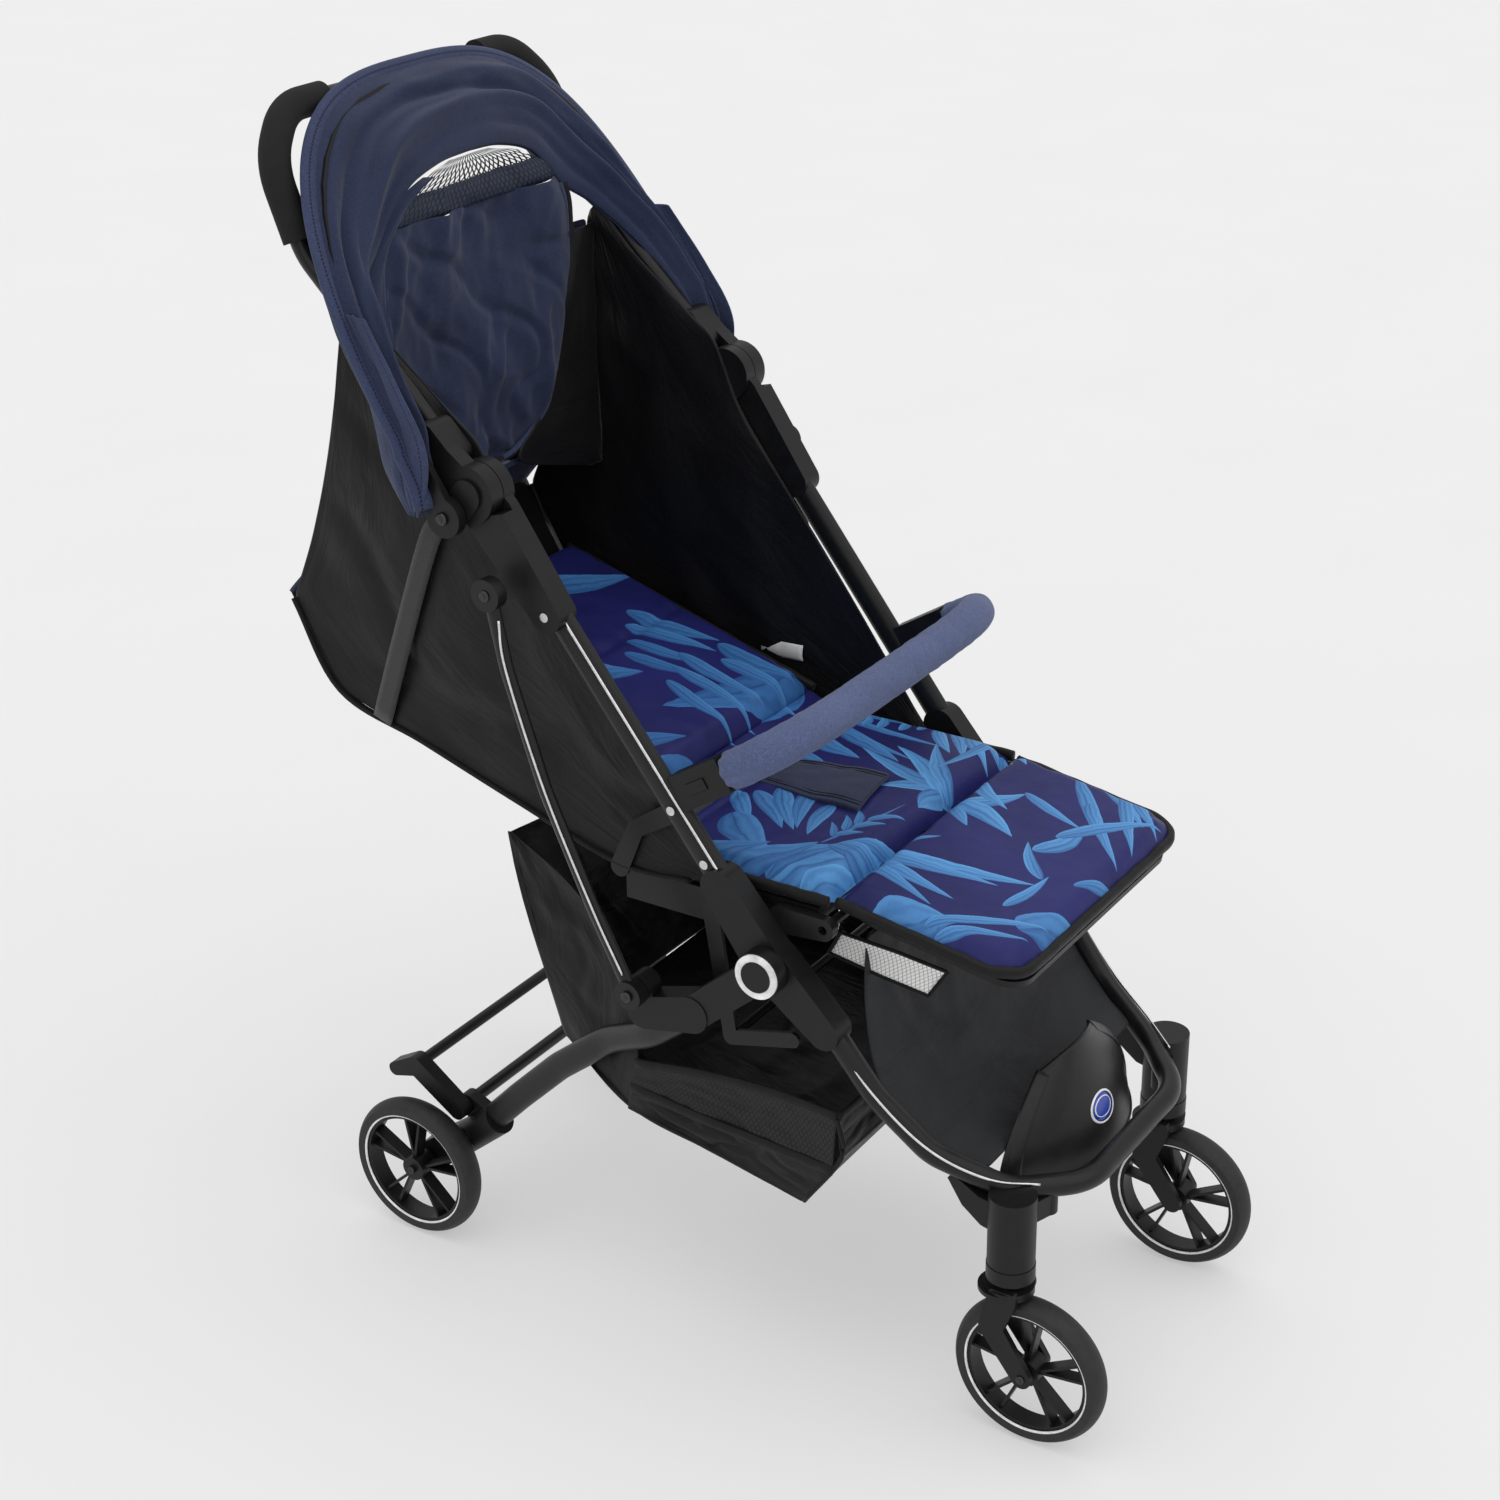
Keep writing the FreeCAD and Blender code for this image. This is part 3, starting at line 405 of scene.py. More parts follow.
def leaf_print(name, low, high):
    """Satin print of blue leaf blades on indigo, laid flat over the liner between two Y positions."""
    m = Mat(name, Sheen_Weight=0.03, Sheen_Roughness=0.3, Specular_IOR_Level=0.22)
    pos = m.coords()
    group = blade_group()
    streak = m.math("SUBTRACT", m.noise(m.scaled(pos, (46, 46, 46)), 1.0, 3.0), 0.5)
    wash = m.noise(m.scaled(pos, (9, 9, 9)), 1.0, 3.0)
    base = m.ramp(wash, (0.3, (0.0100, 0.0105, 0.082)), (0.7, (0.0155, 0.018, 0.130)))
    for (x0, y0), (x1, y1), half, bend, bright in BLADES:
        if max(y0, y1) + half < low or min(y0, y1) - half > high:
            continue
        placed = m.n("ShaderNodeMapping", vector_type="TEXTURE")
        m.link(pos, placed.inputs["Vector"])
        placed.inputs["Location"].default_value = (x0 / 1000, (y0 + SHIFT) / 1000, 0)
        placed.inputs["Rotation"].default_value = (0, 0, math.atan2(y1 - y0, x1 - x0))
        placed.inputs["Scale"].default_value = (math.hypot(x1 - x0, y1 - y0) / 1000, 0.86 * half / 1000, 1)
        blade = m.n("ShaderNodeGroup")
        blade.node_tree = group
        m.feed(blade, placed.outputs[0], bend, streak)
        deep = (0.012 + 0.016 * bright, 0.045 + 0.075 * bright, 0.17 + 0.17 * bright)
        pale = (0.025 + 0.095 * bright, 0.11 + 0.27 * bright, 0.34 + 0.40 * bright)
        base = m.mix(blade.outputs["Mask"], base, m.ramp(blade.outputs["Shade"], (0.1, deep), (0.95, pale)))
    m.colour(base)
    m.rough(m.noise(pos, 90, 3.0), 0.4, 0.52)
    m.bump((m.noise(m.scaled(pos, (700, 2600, 900)), 1.0, 2.0), 0.12, 0.0003),
           (m.noise(pos, 55, 3.0), 0.3, 0.002))
    return m.m


def webbing(name, tone):
    """Ribbed strap webbing; UV v runs across."""
    m = Mat(name, Roughness=0.6, Sheen_Weight=0.2)
    uv = m.coords("UV")
    rib = m.math("SINE", m.math("MULTIPLY", m.split(uv)[0], math.tau / 0.0016))
    m.colour(m.shades(m.noise(uv, 500, 2.0), tone, 0.7, 1.4))
    m.bump((rib, 0.4, 0.0004), (weave(m, uv, 0.0022), 0.3, 0.0003))
    return m.m


def tyre_rubber():
    m = Mat("tyre_rubber", Specular_IOR_Level=0.4)
    pos = m.coords()
    dust = m.noise(pos, 130, 5.0, 0.65)
    m.colour(m.ramp(dust, (0.3, (0.010, 0.0102, 0.011)), (0.75, (0.022, 0.0224, 0.024))))
    m.rough(dust, 0.5, 0.68)
    m.bump((m.noise(pos, 1800, 2.0), 0.2, 0.0003))
    return m.m


BLACK = (0.006, 0.006, 0.0065)
# NAVY is the navy mélange darkened below NAVY_OBJ and NAVY_HEM: painted shade for the shadowed canopy lining
# and curtain, carried by every piece that uses NAVY
NAVY = melange("navy_melange", (0.0075, 0.0115, 0.034), (0.029, 0.041, 0.098))
NAVY_OBJ = melange("navy_melange_solid", (0.013, 0.019, 0.050), (0.046, 0.063, 0.138), coord="Object")
NAVY_HEM = melange("navy_melange_hem", (0.015, 0.021, 0.055), (0.052, 0.071, 0.152), stitch=(0.006, 0.0195))
SLEEVE = melange("sleeve_melange", (0.042, 0.056, 0.125), (0.125, 0.160, 0.310))
WALL = satin("black_satin", (0.0065, 0.0065, 0.0072))
BASKET_CLOTH = satin("basket_cloth", (0.0075, 0.0075, 0.0080), crease=0.8)
CALF_CLOTH = satin("calf_cloth", (0.020, 0.021, 0.024), crease=0.7, rough=(0.42, 0.6))
PIPING = satin("black_binding", (0.006, 0.006, 0.0065), coord="Object", rough=(0.5, 0.65))
PRINT = {"seat_pad": leaf_print("leaf_print_seat", -170, 40),
         "leg_rest_pad": leaf_print("leaf_print_leg_rest", -345, -140),
         "backrest_pad": leaf_print("leaf_print_backrest", 45, 350)}
NET_WINDOW = netting("net_window", (0.006, 0.007, 0.012), 0.0060, 0.17)
NET_BACKED = netting("net_backed", (0.005, 0.006, 0.010), 0.0060, 0.17, fill=(0.020, 0.032, 0.072))
NET_BASKET = netting("net_basket", (0.004, 0.004, 0.004), 0.0046, 0.2, fill=(0.016, 0.016, 0.017))
NET_WHITE = netting("net_white", (0.36, 0.36, 0.36), 0.0042, 0.08, fill=(0.93, 0.93, 0.92))
WEBBING = webbing("black_webbing", (0.007, 0.007, 0.0075))
FRAME_PAINT = painted("frame_paint", BLACK)
STEEL = painted("steel", (0.62, 0.62, 0.63), rough=(0.16, 0.3), metallic=1.0)
RIVET = painted("rivet_steel", (0.06, 0.06, 0.062), rough=(0.25, 0.4), metallic=1.0)
TRIM = painted("silver_trim", (0.72, 0.72, 0.72), rough=(0.2, 0.35), metallic=1.0)
PLASTIC = moulded("black_plastic", BLACK)
COVER = moulded("cover_plastic", (0.010, 0.010, 0.011), rough=(0.3, 0.42), grain=0.1)
WHITE = moulded("white_plastic", (0.80, 0.80, 0.80), rough=(0.25, 0.4), grain=0.05)
FOAM = moulded("foam_rubber", (0.010, 0.010, 0.010), rough=(0.75, 0.9), grain=0.5)
BADGE_BLUE = moulded("badge_blue", (0.012, 0.045, 0.36), rough=(0.18, 0.28), grain=0.0, coat=0.6)
TAG = satin("white_tag", (0.62, 0.62, 0.61), coord="Object", rough=(0.5, 0.6), crease=0.2)
TYRE = tyre_rubber()
SLOT_LOOK = {"tyre": TYRE, "moulded_plastic": PLASTIC, "steel": STEEL, "frame_paint": FRAME_PAINT,
             "ring": WHITE,
             "foam": FOAM, "board": PLASTIC, "navy_cloth": NAVY_OBJ, "black_cloth": PIPING,
             "print_cloth": PRINT["seat_pad"]}
for entry in frame["record"]["subparts"]:
    node = NODES[entry["node"]]
    node.data.materials.clear()
    node.data.materials.append(SLOT_LOOK[entry["material_slot"]])


# ------------------------------------------------------------------ mesh builders
def new_object(name, verts, faces, material, uvs=None):
    mesh = bpy.data.meshes.new(name)
    mesh.from_pydata([tuple(v) for v in verts], [], faces)
    if uvs is not None:
        layer = mesh.uv_layers.new(name="UVMap")
        loops = np.zeros(len(mesh.loops), int)
        mesh.loops.foreach_get("vertex_index", loops)
        layer.data.foreach_set("uv", np.asarray(uvs, float)[loops].ravel())
    mesh.materials.append(material)
    mesh.update()
    mesh.polygons.foreach_set("use_smooth", [True] * len(mesh.polygons))
    obj = bpy.data.objects.new(name, mesh)
    scene.collection.objects.link(obj)
    return obj


def finish_piece(obj, body, slot, replaces=()):
    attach(obj, body)
    if replaces:
        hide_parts(*replaces)
    return obj


def distances(points):
    return np.concatenate([[0], np.cumsum([(b - a).length for a, b in zip(points, points[1:])])])


def smooth_path(points, steps=10):
    """Catmull-Rom through the points."""
    pts = [2 * points[0] - points[1]] + list(points) + [2 * points[-1] - points[-2]]
    out = []
    for a, b, c, d in zip(pts, pts[1:], pts[2:], pts[3:]):
        for k in range(steps):
            t = k / steps
            out.append(0.5 * (2 * b + (c - a) * t + (2 * a - 5 * b + 4 * c - d) * t * t
                              + (3 * b - a - 3 * c + d) * t ** 3))
    return out + [points[-1]]


def spread(points, count):
    """The same path as count points at equal distances."""
    d = distances(points)
    at = np.linspace(0, d[-1], count)
    arr = np.array([list(p) for p in points])
    return [Vector((np.interp(a, d, arr[:, 0]), np.interp(a, d, arr[:, 1]),
                    np.interp(a, d, arr[:, 2]))) for a in at]


def sheet_mesh(name, rows, material, thickness=0.0012, offset=0.0, level=1):
    """A cloth sheet on a grid of points, its UVs in metres."""
    h, w = len(rows), len(rows[0])
    along_u = distances(rows[h // 2])
    along_v = distances([r[w // 2] for r in rows])
    verts = [p for r in rows for p in r]
    uvs = [(along_u[j], along_v[i]) for i in range(h) for j in range(w)]
    faces = [(i * w + j, i * w + j + 1, (i + 1) * w + j + 1, (i + 1) * w + j) for i in range(h - 1)
             for j in range(w - 1)]
    obj = new_object(name, verts, faces, material, uvs)
    if level:
        sub = obj.modifiers.new("soften", "SUBSURF")
        sub.levels = sub.render_levels = level
    if thickness:
        solid = obj.modifiers.new("thickness", "SOLIDIFY")
        solid.thickness, solid.offset = thickness, offset
    return obj


def declare(obj):
    mesh = obj.data
    uv = np.zeros(len(mesh.loops) * 2)
    mesh.uv_layers[0].data.foreach_get("uv", uv)
    return obj


def cloth_piece(name, rows, material, body, slot, thickness=0.0012, level=1, replaces=()):
    """A cloth sheet that rides one body."""
    piece = sheet_mesh(name, rows, material, thickness, level=level)
    finish_piece(piece, body, slot, replaces)
    return declare(piece)


def sweep(name, path, material, rx, ry=None, up=Vector((0, 0, 1)), segments=14, power=2.0, closed=False,
          vary=None):
    """A bar with a rounded section swept along a path; up steers the section's second axis."""
    ry = rx if ry is None else ry
    n = len(path)
    verts, uvs = [], []
    d = distances(path)
    for i, p in enumerate(path):
        before, after = (path[i - 1], path[(i + 1) % n]) if closed else (path[max(0, i - 1)],
                                                                         path[min(n - 1, i + 1)])
        t = (after - before).normalized()
        side = t.cross(up(p) if callable(up) else up).normalized()
        top = side.cross(t).normalized()
        grow = vary(i / (n - 1)) if vary else 1.0
        for k in range(segments):
            a = math.tau * k / segments
            c, s = math.cos(a), math.sin(a)
            c = math.copysign(abs(c) ** (2 / power), c)
            s = math.copysign(abs(s) ** (2 / power), s)
            g = grow(a) if callable(grow) else grow
            verts.append(p + side * (rx * c * g) + top * (ry * s * g))
            uvs.append((d[i], 2 * (rx + ry) * k / segments * 1.5))
    faces = []
    for i in range(n if closed else n - 1):
        for k in range(segments):
            a, b = i * segments + k, i * segments + (k + 1) % segments
            e = ((i + 1) % n) * segments
            faces.append((a, b, e + (k + 1) % segments, e + k))
    if not closed:
        faces += [tuple(range(segments))[::-1], tuple((n - 1) * segments + k for k in range(segments))]
    return new_object(name, verts, faces, material, uvs)


def ribbon(name, path, material, width, thickness, across):
    """A flat strap; across gives the width direction."""
    half = width / 2
    rows = [[p + (across(p) if callable(across) else across).normalized() * s for p in path]
            for s in (-half, -half * 0.5, 0, half * 0.5, half)]
    return sheet_mesh(name, rows, material, thickness, level=0)


def lathe(name, profile, centre, axis, material, segments=48):
    """A turned piece: profile of (distance along axis, radius)."""
    axis = Vector(axis).normalized()
    side = axis.orthogonal().normalized()
    top = axis.cross(side)
    verts, faces, n = [], [], len(profile)
    for k in range(segments):
        a = math.tau * k / segments
        out = side * math.cos(a) + top * math.sin(a)
        verts += [centre + axis * (h / 1000) + out * (r / 1000) for h, r in profile]
    for k in range(segments):
        m = (k + 1) % segments
        faces += [(k * n + i, m * n + i, m * n + i + 1, k * n + i + 1) for i in range(n - 1)]
    return new_object(name, verts, faces, material)


# ------------------------------------------------------------------ padded pieces
def smoothstep(x):
    x = min(1.0, max(0.0, x))
    return x * x * (3 - 2 * x)


def pad_mesh(name, outline, plane, thickness, material, voxel=0.0055):
    """A closed pad with straight sides over an outline in local (x, v); plane maps (x, v, height)."""
    n = len(outline)
    verts = [plane(x, v, 0) for x, v in outline] + [plane(x, v, thickness) for x, v in outline]
    faces = [tuple(range(n))[::-1], tuple(range(n, 2 * n))]
    faces += [(k, (k + 1) % n, n + (k + 1) % n, n + k) for k in range(n)]
    obj = new_object(name, verts, faces, material)
    remesh = obj.modifiers.new("remesh", "REMESH")
    remesh.mode, remesh.voxel_size = "VOXEL", voxel
    apply_modifiers(obj)
    return obj


def apply_modifiers(obj):
    graph = bpy.context.evaluated_depsgraph_get()
    mesh = bpy.data.meshes.new_from_object(obj.evaluated_get(graph), depsgraph=graph)
    materials = list(obj.data.materials)
    obj.modifiers.clear()
    obj.data = mesh
    if not mesh.materials:
        for material in materials:
            mesh.materials.append(material)
    mesh.polygons.foreach_set("use_smooth", [True] * len(mesh.polygons))
    return obj


def inflate(obj, cap, up, pressure=4.0, frames=20, down=0.001):
    """Blows the pad up with a cloth simulation, keeps its underside flat and caps how far it swells."""
    start = np.array([list(v.co) for v in obj.data.vertices])
    cloth = obj.modifiers.new("cloth", "CLOTH")
    cloth.settings.use_pressure = True
    cloth.settings.uniform_pressure_force = pressure
    cloth.settings.effector_weights.gravity = 0
    cloth.settings.quality = 4
    cloth.settings.mass = 0.3
    cloth.settings.tension_stiffness = cloth.settings.compression_stiffness = 12
    cloth.point_cache.frame_end = frames
    for step in range(1, frames + 1):
        scene.frame_set(step)
    apply_modifiers(obj)
    scene.frame_set(1)
    end = np.array([list(v.co) for v in obj.data.vertices])
    up = np.array(list(up))
    move = np.clip((end - start) @ up, -down, cap)[:, None] * up
    obj.data.vertices.foreach_set("co", (start + move).ravel())
    obj.data.update()


def shape_pad(obj, local, seams=(), crown=0.0, size=(1, 1), wrinkle=0.0006, seed=1.0, edge=0.016,
              thickness=0.013):
    """Crowns the top, presses sewn channels into it and adds soft unevenness. local gives (x, v, height)."""
    for vertex in obj.data.vertices:
        x, v, h, up = local(vertex.co)
        rim = smoothstep((size[0] - abs(x)) / edge) * smoothstep((size[1] / 2 - abs(v - size[1] / 2)) / edge)
        top = smoothstep(h / thickness)
        lift = crown * rim * top - (1 - rim) * 0.0035 * top
        for at, depth, width in seams:
            pinch = depth * math.exp(-((v - at) / width) ** 2)
            lift -= pinch * top * (1 + 0.3 * wob(x * 90, at * 50, seed=seed))
            near = math.exp(-((v - at) / (4 * width)) ** 2)
            lift += near * 0.0009 * top * wob(x * 75, v * 35, seed=seed + 5)
        lift += wrinkle * top * (wob(x * 26, v * 26, seed=seed) + 0.5 * wob(x * 70, v * 70, seed=seed + 2))
        vertex.co += up * lift
    sub = obj.modifiers.new("soften", "SUBSURF")
    sub.levels = sub.render_levels = 1


def slope(rear, front):
    """Functions between the frame and a pad's own x, v and height; v runs from front to rear."""
    a, b = P(0, *front), P(0, *rear)
    length = (b - a).length
    run = (b - a).normalized()
    up = Vector((1, 0, 0)).cross(run)

    def plane(x, v, h):
        return a + Vector((x, 0, 0)) + run * v + up * h

    def local(co):
        d = co - a
        return d.x, d.dot(run), d.dot(up), up
    return plane, local, length, up


def rounded_outline(half, length, front, rear, steps=6):
    """Corners run counter-clockwise from the front; front and rear are corner radii."""
    pts = []
    for cx, cv, r, a0 in ((half, 0, front, -90), (half, length, rear, 0), (-half, length, rear, 90),
                          (-half, 0, front, 180)):
        sx, sv = (cx - math.copysign(r, cx)), (cv + r if cv == 0 else cv - r)
        for k in range(steps + 1):
            a = math.radians(a0 + 90 * k / steps)
            pts.append((sx + r * math.cos(a), sv + r * math.sin(a)))
    return pts


PADS = [
    # name, node, body, rear, front, half width, thickness, front and rear corner, cap, seams, crown
    ("seat_pad", "seat_cushion", "side_frame", (22, 463.5), (-157, 463.5), 0.161, 0.0115, 0.004, 0.006, 0.007,
     ((-0.001, 0.006, 0.004), (0.157, 0.004, 0.004)), 0.003),
    ("leg_rest_pad", "leg_rest_cushion", "leg_rest", (-159, 463.3), (-327, 436.0), 0.157, 0.0115, 0.034,
     0.004, 0.007,
     ((0.168, 0.005, 0.0035),), 0.003),
    ("backrest_pad", "backrest_cushion", "backrest", (338, 572.5), (56, 485.0), 0.159, 0.0115, 0.012, 0.012,
     0.008,
     ((0.012, 0.003, 0.004), (0.150, 0.0035, 0.004)), 0.003),
]
EDGE_GAP = 0.0022                 # from the pad's side to the middle of its binding
for name, node, body, rear, front, half, thick, r_front, r_rear, cap, seams, crown in PADS:
    plane, local, length, up = slope(rear, front)
    pad = pad_mesh(name, rounded_outline(half, length, r_front, r_rear), plane, thick, PRINT[name])
    inflate(pad, cap, up)
    shape_pad(pad, local, seams, crown, (half, length), seed=len(name), thickness=thick)
    finish_piece(pad, body, "print_cloth", [node])
    edge = half + EDGE_GAP
    if name == "leg_rest_pad":  # bound along its sides and front in one run
        outline = [plane(x, v, thick * 0.52) for x, v in rounded_outline(edge, length, r_front, r_rear, 8)]
        runs = [[outline[10]] + outline[:9][::-1] + outline[27:][::-1] + [outline[25]]]
    else:
        runs = [[plane(sx * edge, v, thick * 0.5) for v in np.linspace(0, length, 20)] for sx in (-1, 1)]
    for k, run in enumerate(runs):
        run = [p + up * 0.0007 * wob(p.x * 60, p.y * 60, seed=3) for p in spread(run, 140)]
        binding = sweep(f"{name}_binding_{k}", run, PIPING, 0.0040, 0.0050, up=up, segments=10, power=2.6)
        finish_piece(binding, body, "black_cloth")

# ------------------------------------------------------------------ canopy
HEM_HALF, HEM_REACH, HEM_ANGLE, HEM_LEAN, HEM_POWER = 227.0, 364.0, 55.5, 2.8, 3.05


def hem_point(turn, half=HEM_HALF, reach=HEM_REACH, angle=HEM_ANGLE):
    c, s = math.cos(math.radians(turn)), math.sin(math.radians(turn))
    rise = abs(s) ** (2 / HEM_POWER)
    x = -half * math.copysign(abs(c) ** (2 / HEM_POWER), c)
    a = math.radians(angle + HEM_LEAN * rise)
    return P(x, PIVOT[0] + reach * rise * math.cos(a), PIVOT[1] + reach * rise * math.sin(a))


def mirrored_path(points):
    return points + [Vector((-p.x, p.y, p.z)) for p in points[::-1][1:]]


ARCH_STEPS, DEPTH_STEPS = 150, 34
low_hem = smooth_path([P(-224, 193, 757), P(-227, 196, 778), P(-228, 210, 806)], 5)
hem_line = [hem_point(t) for t in np.linspace(4.5, 90, 60)]
HEM = spread(mirrored_path(low_hem + hem_line), ARCH_STEPS)
REAR = spread(mirrored_path(smooth_path([P(-206, 200, 772), P(-196, 216, 825), P(-186, 252, 878),
                                         P(-162, 290, 922),
                                         P(-127, 302, 948), P(-88, 303, 984), P(-42, 303, 999),
                                         P(0, 303, 1002)])),
              ARCH_STEPS)
INNER_FOLDS = [  # middle depth, width, height mm, wander, seed
    (0.13, 0.040, -9.0, 0.05, 1), (0.25, 0.045, 13.0, 0.08, 2), (0.37, 0.050, -12.0, 0.10, 3),
               (0.52, 0.050, 14.0, 0.12, 4),
    (0.66, 0.050, -13.0, 0.10, 5), (0.79, 0.045, 12.0, 0.08, 6), (0.90, 0.035, -8.0, 0.04, 7)]


def fold_height(turn, depth, folds, seed):
    total = 0.0
    for middle, width, height, wander, key in folds:
        centre = middle + wander * wob(turn * 3.1, key * 1.7, seed=seed)
        size = height * (0.65 + 0.6 * wob(turn * 4.3, key * 3.3, seed=seed + 3))
        total += size * math.exp(-((depth - centre) / width) ** 2)
    return total


def canopy_rows(sag, folds, seed, fine, inset=0.0):
    rows = []
    for i in range(DEPTH_STEPS + 1):
        depth = i / DEPTH_STEPS
        row = []
        for j, (front, rear) in enumerate(zip(HEM, REAR)):
            turn = j / (ARCH_STEPS - 1)
            p = front.lerp(rear, depth)
            before, after = HEM[max(0, j - 1)], HEM[min(ARCH_STEPS - 1, j + 1)]
            normal = (after - before).cross(rear - front).normalized()
            envelope = math.sin(math.pi * depth) ** 0.7
            ends = smoothstep(turn / 0.10) * smoothstep((1 - turn) / 0.10)
            height = sag * envelope * (0.35 + 0.65 * ends)
            height += envelope * fold_height(turn, depth, folds, seed) * (0.35 + 0.65 * ends)
            height += envelope * fine * (wob(turn * 22, depth * 7, seed=seed + 8)
                                         + 0.6 * wob(turn * 9, depth * 14, seed=seed))
            height += envelope * fine * 1.5 * abs(wob(turn * 13 + depth * 5, depth * 2.5, seed=seed + 11))
            row.append(p + normal * ((height + inset) / 1000))
        rows.append(row)
    return rows


def unfold_with_bow(obj):
    """Bakes the cloth's world transform into its mesh."""
    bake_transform(obj)


# the lining uses the darker NAVY, whose colour carries painted shade
inner = sheet_mesh("canopy_lining", canopy_rows(9.0, INNER_FOLDS, 1.0, 3.0), NAVY, 0.0012)
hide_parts("canopy_fabric")
declare(inner)
unfold_with_bow(inner)
OUTER_FOLDS = [(0.2, 0.07, -10, 0.06, 7), (0.42, 0.07, 11, 0.08, 8), (0.64, 0.07, -12, 0.08, 9),
               (0.84, 0.05, 8, 0.05, 10)]
outer = sheet_mesh("canopy_shell", canopy_rows(-17.0, OUTER_FOLDS, 2.0, 1.6, inset=-2.0), NAVY, 0.0012)
declare(outer)
unfold_with_bow(outer)


def toward_pivot(p):
    return (P(0, *PIVOT) - Vector((0, p.y, p.z))).normalized() + Vector((-math.copysign(min(1, abs(p.x)
                                                                                            / 0.2), p.x), 0,
                                                                         0))


hem_path = [p + Vector((0, -0.004, 0.002)) for p in HEM[1:-1]]
hem = sweep("canopy_hem", hem_path, NAVY_HEM, 0.0034, 0.0088, up=toward_pivot, segments=16, power=2.4)
finish_piece(hem, "canopy_bow", "navy_cloth")
hem_edge = sweep("canopy_hem_edge", [p + toward_pivot(p).normalized() * 0.0088 for p in hem_path[3:-3]], NAVY,
                 0.0017,
                 up=toward_pivot, segments=8)
finish_piece(hem_edge, "canopy_bow", "navy_cloth")
for side, sign in SIDES:  # the gathered corner of the canopy over its pivot, folded double
    for k, (lean, deep) in enumerate(((0, 0), (13, 3), (25, 5))):
        front = smooth_path([P(sign * 226, 196 + lean * 0.3, 757), P(sign * (228 - deep), 183 + lean, 786),
                             P(sign * (227 - deep), 184 + lean, 822), P(sign * (224 - deep), 212 + lean, 868),
                             P(sign * (218 - deep), 245 + lean, 915)], 6)
        back = smooth_path([P(sign * 225, 199 + lean * 0.3, 757), P(sign * (221 - deep), 211 + lean, 786),
                            P(sign * (219 - deep), 219 + lean, 820), P(sign * (215 - deep), 236 + lean, 866),
                            P(sign * (213 - deep), 262 + lean, 915)], 6)
        front, back = spread(front, 40), spread(back, 40)
        rows = []
        for i in range(13):
            b = i / 12
            rows.append([f.lerp(r, b) + Vector((sign * 0.001 * (3.2 * math.sin(math.pi * b)
                                                                * smoothstep(j / 6)
                                                + 0.8 * wob(j * 0.16, b * 2.5, seed=k + sign)), 0, 0))
                         for j, (f, r) in enumerate(zip(front, back))])
        if sign > 0:
            rows = rows[::-1]
        cloth_piece(f"canopy_corner_{side}_{k}", rows, NAVY_HEM, "canopy_bow", "navy_cloth")

# ------------------------------------------------------------------ back curtain
EDGE = [(717, 18), (722, 52), (745, 86), (780, 106), (818, 118), (880, 132), (930, 130), (948, 124),
        (975, 100),
        (992, 62), (999, 26)]


def curtain_half(z):
    return float(np.interp(z, [e[0] for e in EDGE], [e[1] for e in EDGE]))


def curtain_rows(z0, z1, count, y, wrinkle, columns=70, inset=0.0):
    rows = []
    for i in range(count + 1):
        z = z0 + (z1 - z0) * i / count
        half = curtain_half(z) - inset
        row = []
        for j in range(columns + 1):
            u = 2 * j / columns - 1
            x = u * half
            dip = wob(x * 0.011, z * 0.008, seed=4) * 9 + wob(x * 0.03 + z * 0.012, z * 0.013, seed=6) * 4.5
            ridge = 1 - abs(wob(x * 0.021 - z * 0.006, z * 0.010 + x * 0.004, seed=9))
            dip += 7.0 * max(0, ridge - 0.62) / 0.38
            ridge = 1 - abs(wob(x * 0.012 + z * 0.016, z * 0.007 - x * 0.008, seed=13))
            dip -= 5.0 * max(0, ridge - 0.66) / 0.34
            dip += 1.1 * wob(x * 0.09, z * 0.05, seed=15)
            row.append(P(x, y - wrinkle * dip * (1 - u ** 8) - 3 * math.sin(math.pi * i / count), z))
        rows.append(row)
    return rows


# the curtain uses the darker NAVY, whose colour carries painted shade
cloth_piece("curtain_panel", curtain_rows(717, 957, 80, 300, 1.0), NAVY, "handle", "navy_cloth",
            replaces=["back_curtain"])
cloth_piece("window_flap", curtain_rows(955, 979, 10, 301, 0.3), NET_BACKED, "handle", "navy_cloth",
            0.0010, 0)
cloth_piece("window_net", curtain_rows(977, 999, 8, 303, 0.2), NET_WINDOW, "handle", "black_cloth",
            0.0, 0)
edge_path = [P(sign * curtain_half(z), 300, z) for sign, zs in ((-1, np.linspace(948, 717, 40)),
                                                               (1, np.linspace(717, 948, 40))) for z in zs]
for key, offset in (("inner", 0.0), ("outer", 0.0065)):
    path = [p + Vector((math.copysign(offset, p.x), -0.001, 0))
            for p in smooth_path(edge_path[::4] + edge_path[-1:], 6)]
    cord_piece = sweep(f"curtain_binding_{key}", path, NAVY_OBJ if key == "inner" else PIPING, 0.0032, 0.0022,
                       up=Vector((0, 1, 0)), segments=8)
    finish_piece(cord_piece, "handle", "navy_cloth" if key == "inner" else "black_cloth")

